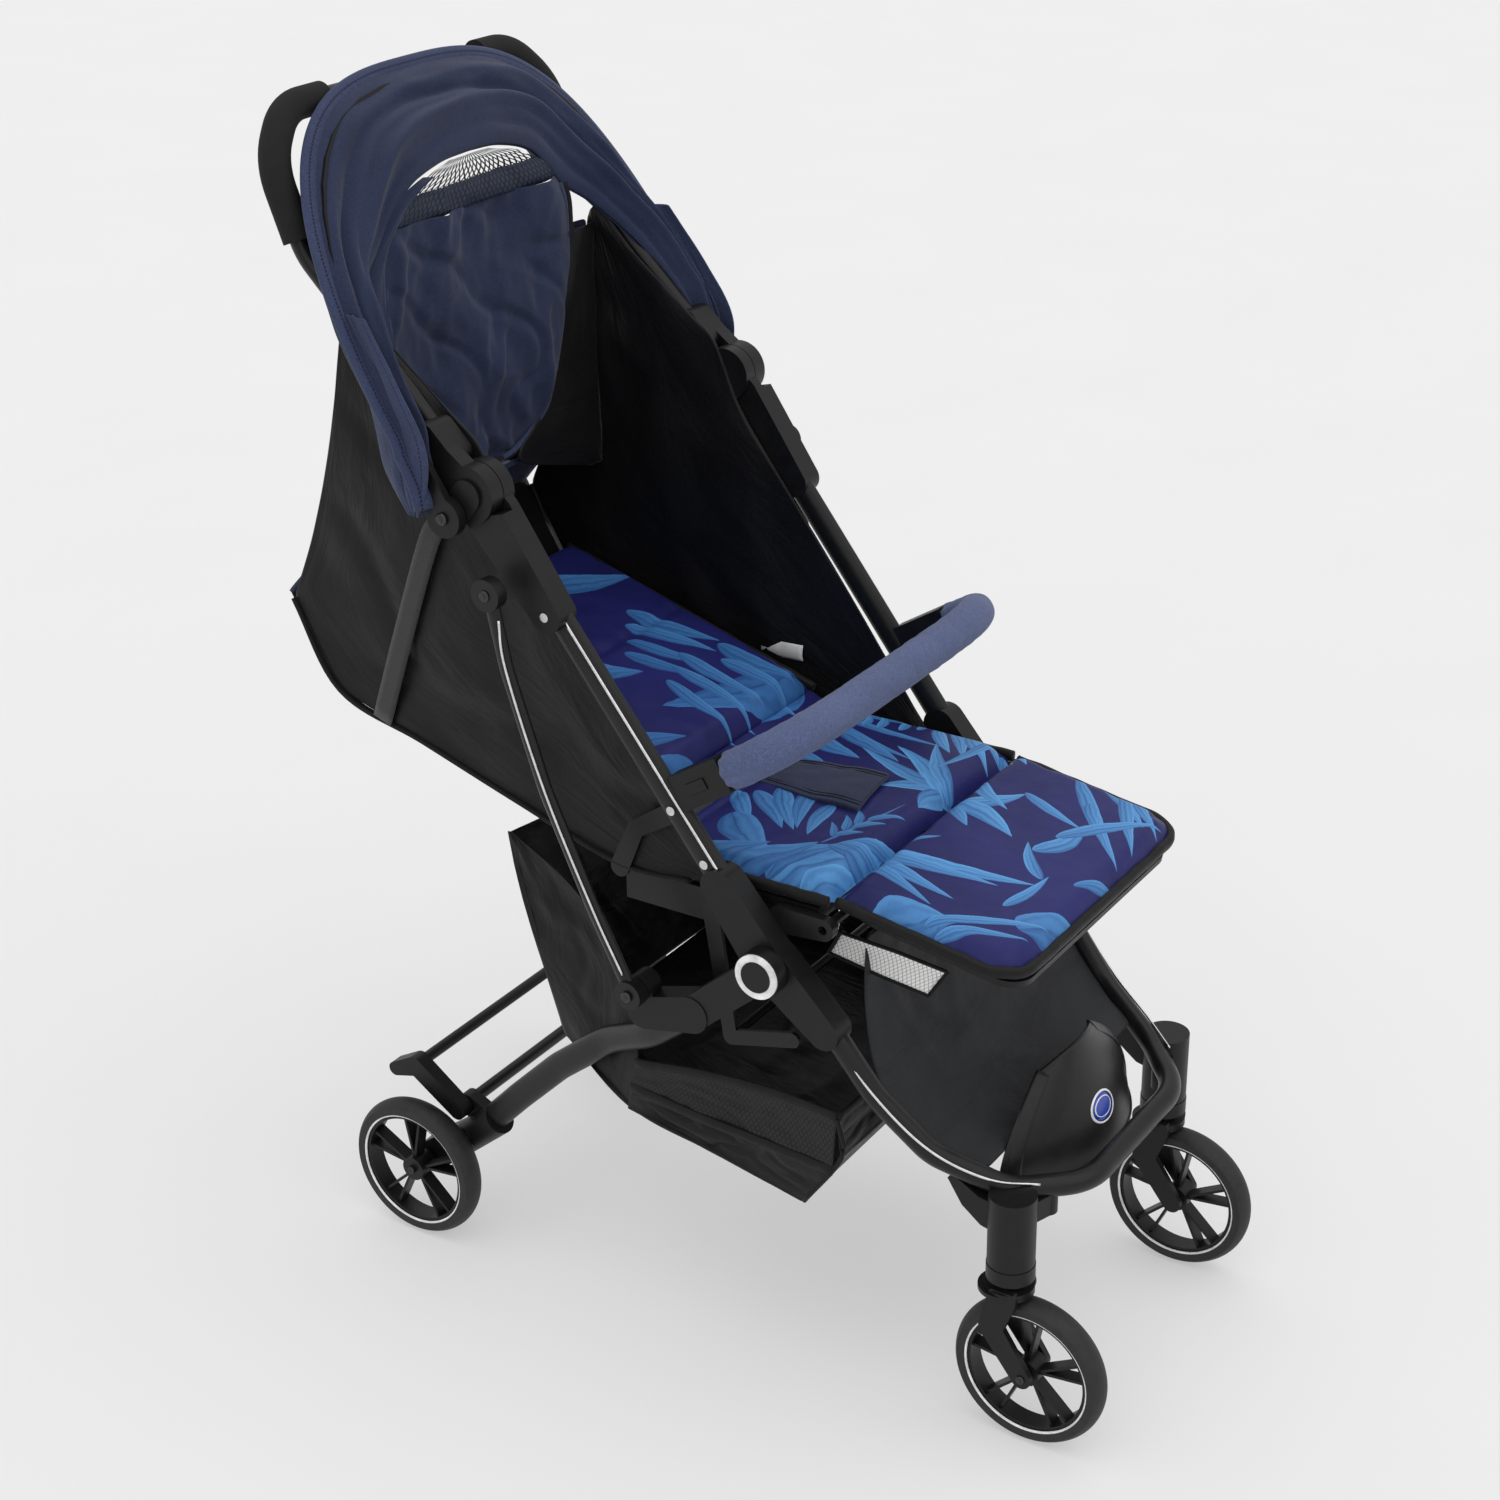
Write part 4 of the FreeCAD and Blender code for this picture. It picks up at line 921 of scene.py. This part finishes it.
# height and half width of the canopy's rear edge
CANOPY_EDGE = [(870, 172), (900, 176), (922, 166), (948, 137), (984, 98), (997, 48)]
for side, sign in SIDES:  # cloth between the curtain and the side wall, navy behind it
    bottom, top = 672, 992 if sign < 0 else 903
    # On the left the inner layer is black satin while the right one is navy: partly the dark binding there,
    # partly a dark sheet painted in for the shade inside the hood's far flank.
    for layer, y0, material, slot in (("lining", 301, NAVY if sign < 0 else WALL,
                                       "navy_cloth" if sign < 0 else "black_cloth"),
                                      ("cover", 311, NAVY, "navy_cloth")):
        rows = []
        for i in range(34):
            z = bottom + (top - bottom) * i / 33
            outer_x = float(np.interp(z, [e[0] for e in CANOPY_EDGE],
                                      [e[1] for e in CANOPY_EDGE])) + (3 if sign > 0 else 0)
            row = []
            for j in range(15):
                b = j / 14
                inner_x = curtain_half(z) - 6 if z > 722 else 40 + max(0, 705 - z) * 3.4
                x = inner_x + (max(outer_x, inner_x + 3) - inner_x) * b
                y = y0 + (5 * math.sin(math.pi * b) + 2.4 * wob(b * 3, z * 0.02,
                                                                seed=sign + y0)) * (1 if y0 > 305 else -0.8)
                row.append(P(sign * x, y - 3 * (1 - b) * (y0 < 305), z))
            rows.append(row if sign < 0 else row[::-1])
        cloth_piece(f"hood_{layer}_{side}", rows, material, "handle", slot, 0.001)

# ------------------------------------------------------------------ side walls
WALL_FRONT = [(-62, 468), (-30, 512), (40, 610), (100, 690), (140, 746), (158, 786), (171, 812), (192, 828),
              (222, 852), (255, 879),
              (280, 906), (292, 924)]
WALL_REAR = [(-30, 460), (42, 458), (150, 490), (250, 522), (342, 551), (388, 630), (358, 700), (330, 790),
             (306, 906)]


def wall_rows(sign, x0):
    front = spread(smooth_path([P(0, *p) for p in WALL_FRONT], 8), 70)
    rear = smooth_path([P(0, *p) for p in WALL_REAR[:5]], 8) + smooth_path([P(0, *p) for p in WALL_REAR[4:6]],
                                                                           8)[1:] \
        + smooth_path([P(0, *p) for p in WALL_REAR[5:]], 8)[1:]
    rear = spread(rear, 70)
    rows = []
    for i in range(42):
        b = i / 41
        row = []
        for j, (f, r) in enumerate(zip(front, rear)):
            p = f.lerp(r, b)
            hold = math.sin(math.pi * b) ** 0.5
            fold = 4.0 * wob(p.y * 11 + p.z * 6, p.z * 5 - p.y * 3, seed=2 + sign)
            ridge = 1 - abs(wob(p.y * 8 - p.z * 9, p.z * 4 + p.y * 5, seed=5 + sign))
            fold += 5.0 * max(0, ridge - 0.6) / 0.4
            fold += 1.0 * wob(p.y * 40, p.z * 34, seed=7)
            row.append(Vector((sign * (x0 - fold * hold) / 1000, p.y, p.z)))
        rows.append(row if sign > 0 else row[::-1])
    return rows


for side, sign in SIDES:
    rows = wall_rows(sign, 175.0)
    cloth = sheet_mesh(f"side_wall_{side}", rows, WALL, 0.0014)
    if sign < 0:
        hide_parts("side_panels")
    declare(cloth)
    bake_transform(cloth)
    path = spread(smooth_path([P(sign * 175.5, *p) for p in WALL_REAR[:6]], 8), 90)
    binding = sweep(f"wall_binding_{side}_lower", path, PIPING, 0.0022, 0.0045, up=Vector((1, 0, 0)),
                    segments=8)
    finish_piece(binding, "side_frame", "black_cloth")
strap_path = smooth_path([P(-181, 205, 742), P(-181.5, 224, 717), P(-180, 262, 620), P(-179.5, 293, 534)], 8)
strap = ribbon("side_strap", strap_path, WEBBING, 0.020, 0.0014, Vector((0, 0.9, 0.35)))
finish_piece(strap, "side_frame", "black_cloth")
declare(strap)

# Head end of the seat: a padded navy flap from the backrest to the hood.
rows = []
for i in range(22):
    b = i / 21
    row = []
    for j in range(61):
        u = 2 * j / 60 - 1
        p = P(u * 174, 394 - 92 * b + 2, 634 + 72 * b)
        bulge = 0.012 * math.sin(math.pi * b) * (1 - 0.4 * u * u) + 0.0025 * wob(u * 4, b * 3, seed=21)
        row.append(p + Vector((0, 0.62, 0.78)) * bulge)
    rows.append(row)
head = sheet_mesh("head_flap", rows, NAVY, 0.004)
finish_piece(head, "backrest", "navy_cloth")
rows = []
for i in range(26):
    b = i / 25
    a = along((343.3, 557.6), 60, 92 * b)
    rows.append([P(u * 174, a[0] + 4.2 + 1.5 * math.sin(math.pi * b) + 1.2 * wob(u * 3, b * 2, seed=31),
                   a[1] - 1)
                 for u in np.linspace(-1, 1, 41)])
cloth_piece("head_back", rows, WALL, "backrest", "black_cloth")
rows = []
for i in range(40):
    b = i / 39
    a = along((40, 462), 17.5, 4 + 312 * b, -7.5)
    sag = 5 * math.sin(math.pi * b)
    rows.append([P(u * 171, a[0] + sag * 0.3, a[1] - sag * (1 - u ** 4) - 1.6 * wob(u * 5, b * 6, seed=33))
                 for u in np.linspace(-1, 1, 41)])
cloth_piece("seat_underside", rows, WALL, "backrest", "black_cloth")

rows = [[P(171.6 - 2.0 * math.sin(math.pi * b), 118 - 46 * u,
           508 + 2 * u + 16 * b) for u in np.linspace(0, 1, 9)]
        for b in np.linspace(0, 1, 7)]
cloth_piece("blank_tag", rows, TAG, "side_frame", "black_cloth", 0.0006, 0)

# The quilted liner runs on over the crease between seat and backrest.
rows = []
for i in range(17):
    b = i / 16
    row = []
    for u in np.linspace(-1, 1, 49):
        y, z = 14 + 52 * b, 473.6 + 14.5 * smoothstep(b) ** 1.2 + 1.2 * math.sin(math.pi * b)
        row.append(P(u * 157, y, z + 0.8 * wob(u * 7, b * 2, seed=61)))
    rows.append(row)
bridge = sheet_mesh("liner_crease", rows, PRINT["seat_pad"], 0.003)
declare(bridge)
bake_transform(bridge)

# ------------------------------------------------------------------ harness
def strip(name, path, width, thickness, material, body, slot,
          across=Vector((1, 0, 0))):
    piece = ribbon(name, path, material, width, thickness, across)
    finish_piece(piece, body, slot)
    return declare(piece)


rows = []
for i in range(31):
    b = i / 30
    y = 5 - 110 * b
    half = 26 + 10 * smoothstep(b * 1.4)
    arch = 484.5 + 3.2 * math.sin(math.pi * b) + 5.0 * smoothstep((b - 0.55) / 0.4)
    rows.append([P(u * half, y + 5 * u * b, arch - 2.5 * u * u + 0.9 * wob(u * 2, b * 5, seed=41))
                 for u in np.linspace(-1, 1, 21)])
crotch = sheet_mesh("crotch_cover", rows, NAVY, 0.0045)
finish_piece(crotch, "side_frame", "navy_cloth", ["crotch_pad"])
for k, inset in enumerate((0.85, 0.72)):
    for sx in (-1, 1):
        path = [row[0].lerp(row[-1], 0.5 + 0.5 * sx * inset) + Vector((0, 0, 0.0034)) for row in rows]
        seam = sweep(f"crotch_seam_{k}_{'a' if sx < 0 else 'b'}", path, PIPING, 0.0005, 0.0004, segments=6)
        finish_piece(seam, "side_frame", "black_cloth")
for side, sign in SIDES:
    flow = [P(sign * x, y, z) for x, y, z in ((160, 22, 477), (120, 23, 478.5), (80, 21, 479), (48, 24, 481),
                                              (24, 26, 484))]
    strap = strip(f"waist_strap_{side}", smooth_path(flow, 8), 0.024, 0.0018, WEBBING, "side_frame",
                  "black_cloth",
                  across=Vector((0, 1, 0)))
    if sign < 0:
        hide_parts("waist_straps")
    flow = [along((40, 462), 17.5, d, h) for d, h in ((250, 14), (245, 19), (200, 19.5), (140, 19.0),
                                                      (90, 20), (60, 21))]
    x_at = (58, 60, 62, 58, 50, 42)
    pad_rows = []
    centre = spread(smooth_path([P(sign * x, *f) for x, f in zip(x_at[1:5], flow[1:5])], 8), 36)
    for j in range(13):
        u = 2 * j / 12 - 1
        pad_rows.append([c + Vector((u * 0.023, 0, 0)) + Vector((0, -0.3, 0.95)) *
                         (0.0022 * (1 - u * u) + 0.0011 * wob(q * 0.25, u * 2, seed=43 + sign)) for q,
                         c in enumerate(centre)])
    shoulder = sheet_mesh(f"shoulder_pad_{side}", pad_rows if sign < 0 else pad_rows[::-1], NAVY, 0.004)
    finish_piece(shoulder, "backrest", "navy_cloth")
    tail = smooth_path([P(sign * x, *f) for x, f in zip(x_at[3:], flow[3:])], 6)
    strip(f"shoulder_strap_{side}", tail, 0.022, 0.0016, WEBBING, "backrest", "black_cloth")
    clip = along((40, 462), 17.5, 84, 22)
    slider = sweep(f"slider_{side}", [P(sign * 30, *clip), P(sign * 66, *clip)], PLASTIC, 0.0075, 0.0026,
                   up=Vector((0, -0.3, 0.95)), segments=12, power=4)
    finish_piece(slider, "backrest", "moulded_plastic")
    prong = sweep(f"buckle_prong_{side}", [P(sign * 22.5, 26, 487), P(sign * 33, 26, 486),
                                           P(sign * 42, 26, 484.5)], PLASTIC,
                  0.009, 0.0032, up=Vector((0, 0, 1)), segments=12, power=4)
    finish_piece(prong, "side_frame", "moulded_plastic")

# ------------------------------------------------------------------ bumper sleeve
base = along(MID, TUBE_ANGLE, 161, 12)
bend_at = along(base, 148, 78)
half_bar = [P(-184.8, *along(base, 148, 58)), P(-184.2, *along(base, 148, 70)),
            P(-178, bend_at[0] - 9, bend_at[1] + 6),
            P(-164, bend_at[0] - 17, bend_at[1] + 10.5), P(-140, bend_at[0] - 23, bend_at[1] + 13.3),
            P(-90, bend_at[0] - 26, bend_at[1] + 14), P(0, bend_at[0] - 26.5, bend_at[1] + 14)]
bar_path = spread(mirrored_path(smooth_path(half_bar, 8)), 150)


def gathered(t):
    end = min(t, 1 - t)
    pull = math.exp(-(end / 0.022) ** 2)

    def ring(a):
        return 0.975 - 0.06 * pull + 0.05 * pull * math.sin(a * 9) + 0.022 * wob(t * 34, math.cos(a) * 1.4,
                                                                                 math.sin(a) * 1.4) \
            + 0.03 * math.exp(-(end / 0.09) ** 2) * wob(t * 90, a * 1.1, seed=4)
    return ring


bar_sleeve = sweep("bar_sleeve", bar_path, SLEEVE, 0.0172, up=Vector((0, 0, 1)), segments=40, vary=gathered)
finish_piece(bar_sleeve, "bumper", "navy_cloth", ["bumper_sleeve"])
seam_path = [p + Vector((0, 0.0110, -0.0128)) for p in bar_path[6:-6]]
finish_piece(sweep("bar_seam", seam_path, NAVY_OBJ, 0.0013, segments=6), "bumper", "navy_cloth")

# ------------------------------------------------------------------ basket
def panel(name, near, far, material, sag=3.0, seed=1.0, count=22, columns=44, out=Vector((0, 0, 0)),
          fold=2.6):
    """Cloth spanned between two edge lines, billowing towards out."""
    near, far = spread(smooth_path(near, 6), columns), spread(smooth_path(far, 6), columns)
    rows = []
    for i in range(count):
        b = i / (count - 1)
        grip = math.sin(math.pi * b) ** 0.6
        row = []
        for j, (p, q) in enumerate(zip(near, far)):
            c = j / (columns - 1)
            ends = math.sin(math.pi * min(1, max(0, c))) ** 0.5
            ridge = 1 - abs(wob(c * 6 + b * 2, b * 2 - c * 2, seed=seed))
            move = (sag * grip * ends + fold * grip * wob(c * 5, b * 3, seed=seed + 2)
                    + 3.4 * grip * max(0, ridge - 0.6) / 0.4)
            row.append(p.lerp(q, b) + out * (move * ends / 1000))
        rows.append(row)
    return cloth_piece(name, rows, material, "side_frame", "black_cloth")


for side, sign in SIDES:
    top = [P(sign * 180.5, -176, 277), P(sign * 179, -110, 279), P(sign * 179, -40, 274),
           P(sign * 180.5, 30, 264)]
    mid = [P(sign * 181, -172, 222), P(sign * 180, -100, 226), P(sign * 180, -30, 230),
           P(sign * 180.5, 36, 238)]
    low = [P(sign * 180.5, -142, 181), P(sign * 179.5, -80, 192), P(sign * 179.5, -20, 203),
           P(sign * 180.5, 40, 215)]
    net = panel(f"basket_net_{side}", top, mid, NET_BASKET, 1.5, 2 + sign, out=Vector((sign * -1, 0, 0)),
                fold=1.2)
    panel(f"basket_side_{side}", mid, low, BASKET_CLOTH, 2.0, 5 + sign, out=Vector((sign * -1, 0, 0)))
    if sign < 0:
        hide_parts("basket")
    for key, line in (("top", top), ("mid", mid)):
        hem_piece = sweep(f"basket_hem_{key}_{side}", [p + Vector((0, 0, 0.001))
                                                       for p in smooth_path(line, 8)], PIPING,
                          0.0018, 0.0052, segments=8)
        finish_piece(hem_piece, "side_frame", "black_cloth")
    corner = smooth_path([P(sign * 180, -176, 276), P(sign * 180.5, -181, 240), P(sign * 180, -143, 182)], 8)
    finish_piece(sweep(f"basket_corner_{side}", corner, PIPING, 0.0022, segments=8), "side_frame",
                 "black_cloth")
    wing_front = [P(sign * 178, 38, 216), P(sign * 170, 34, 262), P(sign * 146, 60, 330),
                  P(sign * 136, 122, 392), P(sign * 134, 190, 430)]
    wing_rear = [P(sign * 136, 140, 237), P(sign * 135, 158, 290), P(sign * 135, 176, 345),
                 P(sign * 135, 188, 392), P(sign * 134, 195, 430)]
    panel(f"basket_wing_{side}", wing_front, wing_rear, BASKET_CLOTH, 3.0, 8 + sign,
          out=Vector((sign * -1, 0, 0)), fold=3.4)
front_top = [P(-180, -176, 276), P(-90, -174, 270), P(0, -174, 267), P(90, -174, 270), P(180, -176, 276)]
front_mid = [P(-180, -180, 238), P(0, -179, 234), P(180, -180, 238)]
front_low = [P(-180, -142, 181), P(-60, -142, 182), P(60, -142, 182), P(180, -142, 181)]
panel("basket_front_top", front_top, front_mid, BASKET_CLOTH, 2.0, 12, out=Vector((0, 1, 0)))
panel("basket_front_low", front_mid, front_low, BASKET_CLOTH, 2.0, 13, out=Vector((0, 1, 0)))
finish_piece(sweep("basket_hem_front", smooth_path(front_top, 8), PIPING, 0.0018, 0.0052, segments=8),
             "side_frame", "black_cloth")
panel("basket_floor", [P(-180, -142, 182), P(-180, -50, 199), P(-179, 40, 216), P(-136, 141, 238)],
      [P(180, -142, 182), P(180, -50, 199), P(179, 40, 216), P(136, 141, 238)], BASKET_CLOTH, 2.5, 15,
      out=Vector((0, 0, 1)), count=40)
panel("basket_rear", [P(-136, 141, 237), P(-45, 143, 238), P(45, 143, 238), P(136, 141, 237)],
      [P(-134, 194, 429), P(-45, 190, 422), P(45, 190, 423), P(134, 194, 429)], BASKET_CLOTH, -6.0, 17,
      out=Vector((0, -1, 0.3)), count=44, columns=60, fold=4.5)

# each basket piece gets its own copy of its mesh
for piece in [o for o in scene.objects if o.name.startswith("basket_")]:
    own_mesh(piece)

# ------------------------------------------------------------------ calf panel, foot cover and net strip
# half width, y, z
CALF_EDGE = [(126, -172, 425), (150, -186, 368), (167, -213, 309), (157, -257, 264), (136, -297, 245)]
calf_side = spread(smooth_path([Vector(p) for p in CALF_EDGE], 8), 34)
rows = []
for i in range(34):
    t = i / 33
    row = []
    for j in range(45):
        u = 2 * j / 44 - 1
        fold = 3.4 * wob(u * 2.2 + t * 2.2, t * 1.2 - u, seed=51) + 3.6 * max(0, 1 - abs(wob(u * 3 - t * 2,
                                                                                             t * 2, seed=53))
                                                                              - 0.6) / 0.4
        hold = (1 - u ** 6) * math.sin(math.pi * min(1, t + 0.02)) ** 0.4
        half, y, z = calf_side[i]
        row.append(P(u * half, y, z) + Vector((0, -0.8, -0.5)) * (fold * hold / 1000))
    rows.append(row)
cloth_piece("calf_cloth", rows, CALF_CLOTH, "side_frame", "black_cloth", 0.0014,
            replaces=["calf_panel"])


def cover_point(u, height, lift=0.0):
    width = 118 * (1 - 0.6 * (max(0, height - 0.1) / 0.9) ** 2.2)
    bulge = max(0.0, math.cos(u * math.pi / 2)) ** 0.85
    return P(width * u, -297 - lift - (51 - 38 * height) * bulge, 212 + 90 * height - 12 * u * u)


rows = [[cover_point(math.sin(math.radians(a)), h) for a in np.linspace(-90, 90, 49)]
        for h in np.linspace(0, 1, 25)]
cover = sheet_mesh("foot_cover_shell", rows, COVER, 0.003)
finish_piece(cover, "side_frame", "moulded_plastic", ["foot_cover"])
for key, h in (("top", 1.0), ("bottom", 0.0)):
    path = [cover_point(math.sin(math.radians(a)), h, 0.5) for a in np.linspace(-86, 86, 60)]
    finish_piece(sweep(f"cover_lip_{key}", path, COVER, 0.0022, segments=8), "side_frame", "moulded_plastic")


for side, sign in SIDES:  # turned flanges along the cover's side edges
    path = [cover_point(sign * 0.91, h, 1.2) for h in np.linspace(0.02, 0.98, 30)]
    flange = sweep(f"cover_flange_{side}", path, COVER, 0.0014, 0.0068, up=Vector((-sign * 0.79, -0.62, 0)),
                   segments=12, power=3)
    finish_piece(flange, "side_frame", "moulded_plastic")


def badge(name, half_w, half_h, lift, material, slot, hollow=0.0):
    """An oval plate that follows the cover's bulge."""
    rings, ring_n = (hollow, (1 + hollow) / 2, 1.0), 40
    verts = [cover_point((half_w * r * math.cos(a)) / 110, 0.36 + half_h * r * math.sin(a) / 90,
                         lift - 0.5 * (r == 1.0))
             for r in rings for a in np.linspace(0, math.tau, ring_n, endpoint=False)]
    faces = [(q * ring_n + k, q * ring_n + (k + 1) % ring_n, (q + 1) * ring_n + (k + 1) % ring_n,
              (q + 1) * ring_n + k)
             for q in range(2) for k in range(ring_n)]
    if not hollow:
        faces = [f for f in faces if f[0] >= ring_n] + [tuple(range(ring_n, 2 * ring_n))[::-1]]
    piece = new_object(name, verts, faces, material)
    solid = piece.modifiers.new("thickness", "SOLIDIFY")
    solid.thickness, solid.offset = 0.0006, 0
    finish_piece(piece, "side_frame", slot)


badge("badge_plate", 19, 12, 2.0, BADGE_BLUE, "moulded_plastic")
badge("badge_rim", 19.5, 12.5, 2.4, WHITE, "ring", hollow=0.88)
badge("badge_inlay", 13.5, 7.6, 2.5, WHITE, "ring", hollow=0.93)

for side, sign in SIDES:
    top = [P(sign * 131, -150, 424), P(sign * 131, -205, 421), P(sign * 131, -252, 416)]
    low = [P(sign * 130, -138, 401), P(sign * 130, -190, 393), P(sign * 130, -234, 388)]
    rows = [[p.lerp(q, b) + Vector((sign * -0.0015 * math.sin(math.pi * b), 0, 0)) for p, q in
             zip(spread(top, 30), spread(low, 30))] for b in np.linspace(0, 1, 9)]
    cloth_piece(f"net_strip_{side}", rows, NET_WHITE, "leg_rest", "black_cloth", 0.0008, 0)
    for key, line in (("top", top), ("low", low), ("end", [top[-1], low[-1]]), ("start", [top[0], low[0]])):
        finish_piece(sweep(f"net_edge_{key}_{side}", spread(line, 12), PIPING, 0.0017, 0.0017, segments=8),
                     "leg_rest", "black_cloth")

# ------------------------------------------------------------------ silver lines, rings and screw heads
for side, sign in SIDES:
    line = [P(sign * 194.6, *along(MID, TUBE_ANGLE, d, 7.4)) for d in np.linspace(84, 330, 30)]
    finish_piece(sweep(f"tube_line_{side}", line, TRIM, 0.0011, 0.0014, segments=8), "side_frame", "steel")
    line = smooth_path([P(sign * 232.2, y - 3.2, z + 1) for y,
                        z in ((117, 684), (112, 640), (78, 538), (34, 440), (6, 386))], 10)
    finish_piece(sweep(f"strut_line_{side}", line, TRIM, 0.0010, 0.0012, segments=8), "struts", "steel")
    line = smooth_path([P(sign * (x + 7.4), y - 3, z + 6.2) for x, y,
                        z in ((187.5, -170, 366), (179, -212, 309), (166, -258, 264),
                                                                          (146, -304, 240),
                              (120, -338, 232))], 10)
    finish_piece(sweep(f"front_line_{side}", line, TRIM, 0.0010, 0.0012, segments=8), "side_frame", "steel")
    screws = [("canopy_screw", "canopy_bow", P(sign * 222.4, 175, 758), 5.5),
              ("knuckle_screw", "handle", P(sign * 207.2, 159, 776.5), 5),
              ("strut_screw", "struts", P(sign * 234.3, 125.6, 704.6), 5),
              ("foot_screw", "struts", P(sign * 235.6, -2.3, 368.7), 5),
              ("front_hub_screw", f"fork_{side}", P(sign * 151 + 0, -350, 70) + Vector((sign * 0.0198, 0, 0)),
               4),
              ("rear_hub_screw", f"rear_wheel_{side}", P(sign * 194.2, 288, 70), 4)]
    for key, body, at, r in screws:
        profile = [(0, 0.01), (0, r), (0.7, r), (1.4, r * 0.8), (1.5, r * 0.45), (0.7, r * 0.4), (0.7, 0.01)]
        finish_piece(lathe(f"{key}_{side}", profile, at, (sign, 0, 0), RIVET, 24), body, "steel")
    turn = [math.tau * 3 * t for t in np.linspace(0, 1, 61)]
    path = [P(sign * 151 + 8 * math.cos(a), -328 + 8 * math.sin(a), 153 + 4 * a / turn[-1]) for a in turn]
    coil = sweep(f"spring_coil_{side}", path, STEEL, 0.0009, segments=8)
    finish_piece(coil, f"caster_{side}", "steel", [f"caster_spring_{side}"])
    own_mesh(coil)
    for key, body, at, half_w in (("front", f"front_wheel_{side}", P(sign * 151, -350, 70), 12.0),
                                  ("rear", f"rear_wheel_{side}", P(sign * 181.5, 288, 70), 12.0)):
        for face in (-1, 1):
            ring = [(half_w - 2.2, 56.2), (half_w - 1.0, 56.4), (half_w - 0.6, 57.4), (half_w - 1.0, 58.4),
                    (half_w - 2.2, 58.6)]
            finish_piece(lathe(f"wheel_ring_{key}_{side}_{'in' if face < 0 else 'out'}", ring, at,
                               (sign * face, 0, 0), WHITE, 72),
                         body, "ring")
# ------------------------------------------------------------------ camera, light and floor
def place_camera():
    yaw, pitch, roll = math.radians(32.952), math.radians(25.061), math.radians(-0.839)
    d = Vector((math.cos(yaw) * math.cos(pitch), math.sin(yaw) * math.cos(pitch), -math.sin(pitch)))
    r = d.cross(Vector((0, 0, 1))).normalized()
    u = r.cross(d)
    right = r * math.cos(roll) + u * math.sin(roll)
    up = u * math.cos(roll) - r * math.sin(roll)
    data = bpy.data.cameras.new("camera")
    data.lens, data.sensor_width = 64.72, 36.0
    data.clip_end = 50
    cam = bpy.data.objects.new("camera", data)
    m = Matrix((right, up, -d)).transposed().to_4x4()
    m.translation = Vector((-1.8271, -1.148, 1.5161))
    cam.matrix_world = m
    scene.collection.objects.link(cam)
    scene.camera = cam


def soft_light(name, towards, spread, strength):
    """A very large, far softbox: a sun with a wide disc."""
    data = bpy.data.lights.new(name, "SUN")
    data.angle, data.energy = math.radians(spread), strength
    obj = bpy.data.objects.new(name, data)
    obj.rotation_euler = Vector(towards).to_track_quat("-Z", "Y").to_euler()
    scene.collection.objects.link(obj)


place_camera()
soft_light("key", (0.45, 0.5, -1.0), 110, 1.35)
soft_light("fill", (-0.6, 0.3, -0.9), 120, 0.85)
soft_light("back", (0.25, -0.7, -0.9), 120, 0.75)
world = bpy.data.worlds.new("studio")
scene.world = world
world.use_nodes = True
world.node_tree.nodes["Background"].inputs[0].default_value = (1, 1, 1, 1)
world.node_tree.nodes["Background"].inputs[1].default_value = 0.34
floor_mesh = bpy.data.meshes.new("floor")
floor_mesh.from_pydata([(-14, -14, 0), (14, -14, 0), (14, 14, 0), (-14, 14, 0)], [], [(0, 1, 2, 3)])
floor = bpy.data.objects.new("floor", floor_mesh)
scene.collection.objects.link(floor)
floor_look = Mat("floor", Roughness=0.9, Specular_IOR_Level=0.05, Emission_Color=(1, 1, 1, 1),
                 Emission_Strength=0.40)
floor_look.colour(floor_look.ramp(floor_look.noise(floor_look.coords(), 3.0), (0.3, (0.415, 0.415, 0.415)),
                                  (0.7, (0.425, 0.425, 0.425))))
floor_mesh.materials.append(floor_look.m)
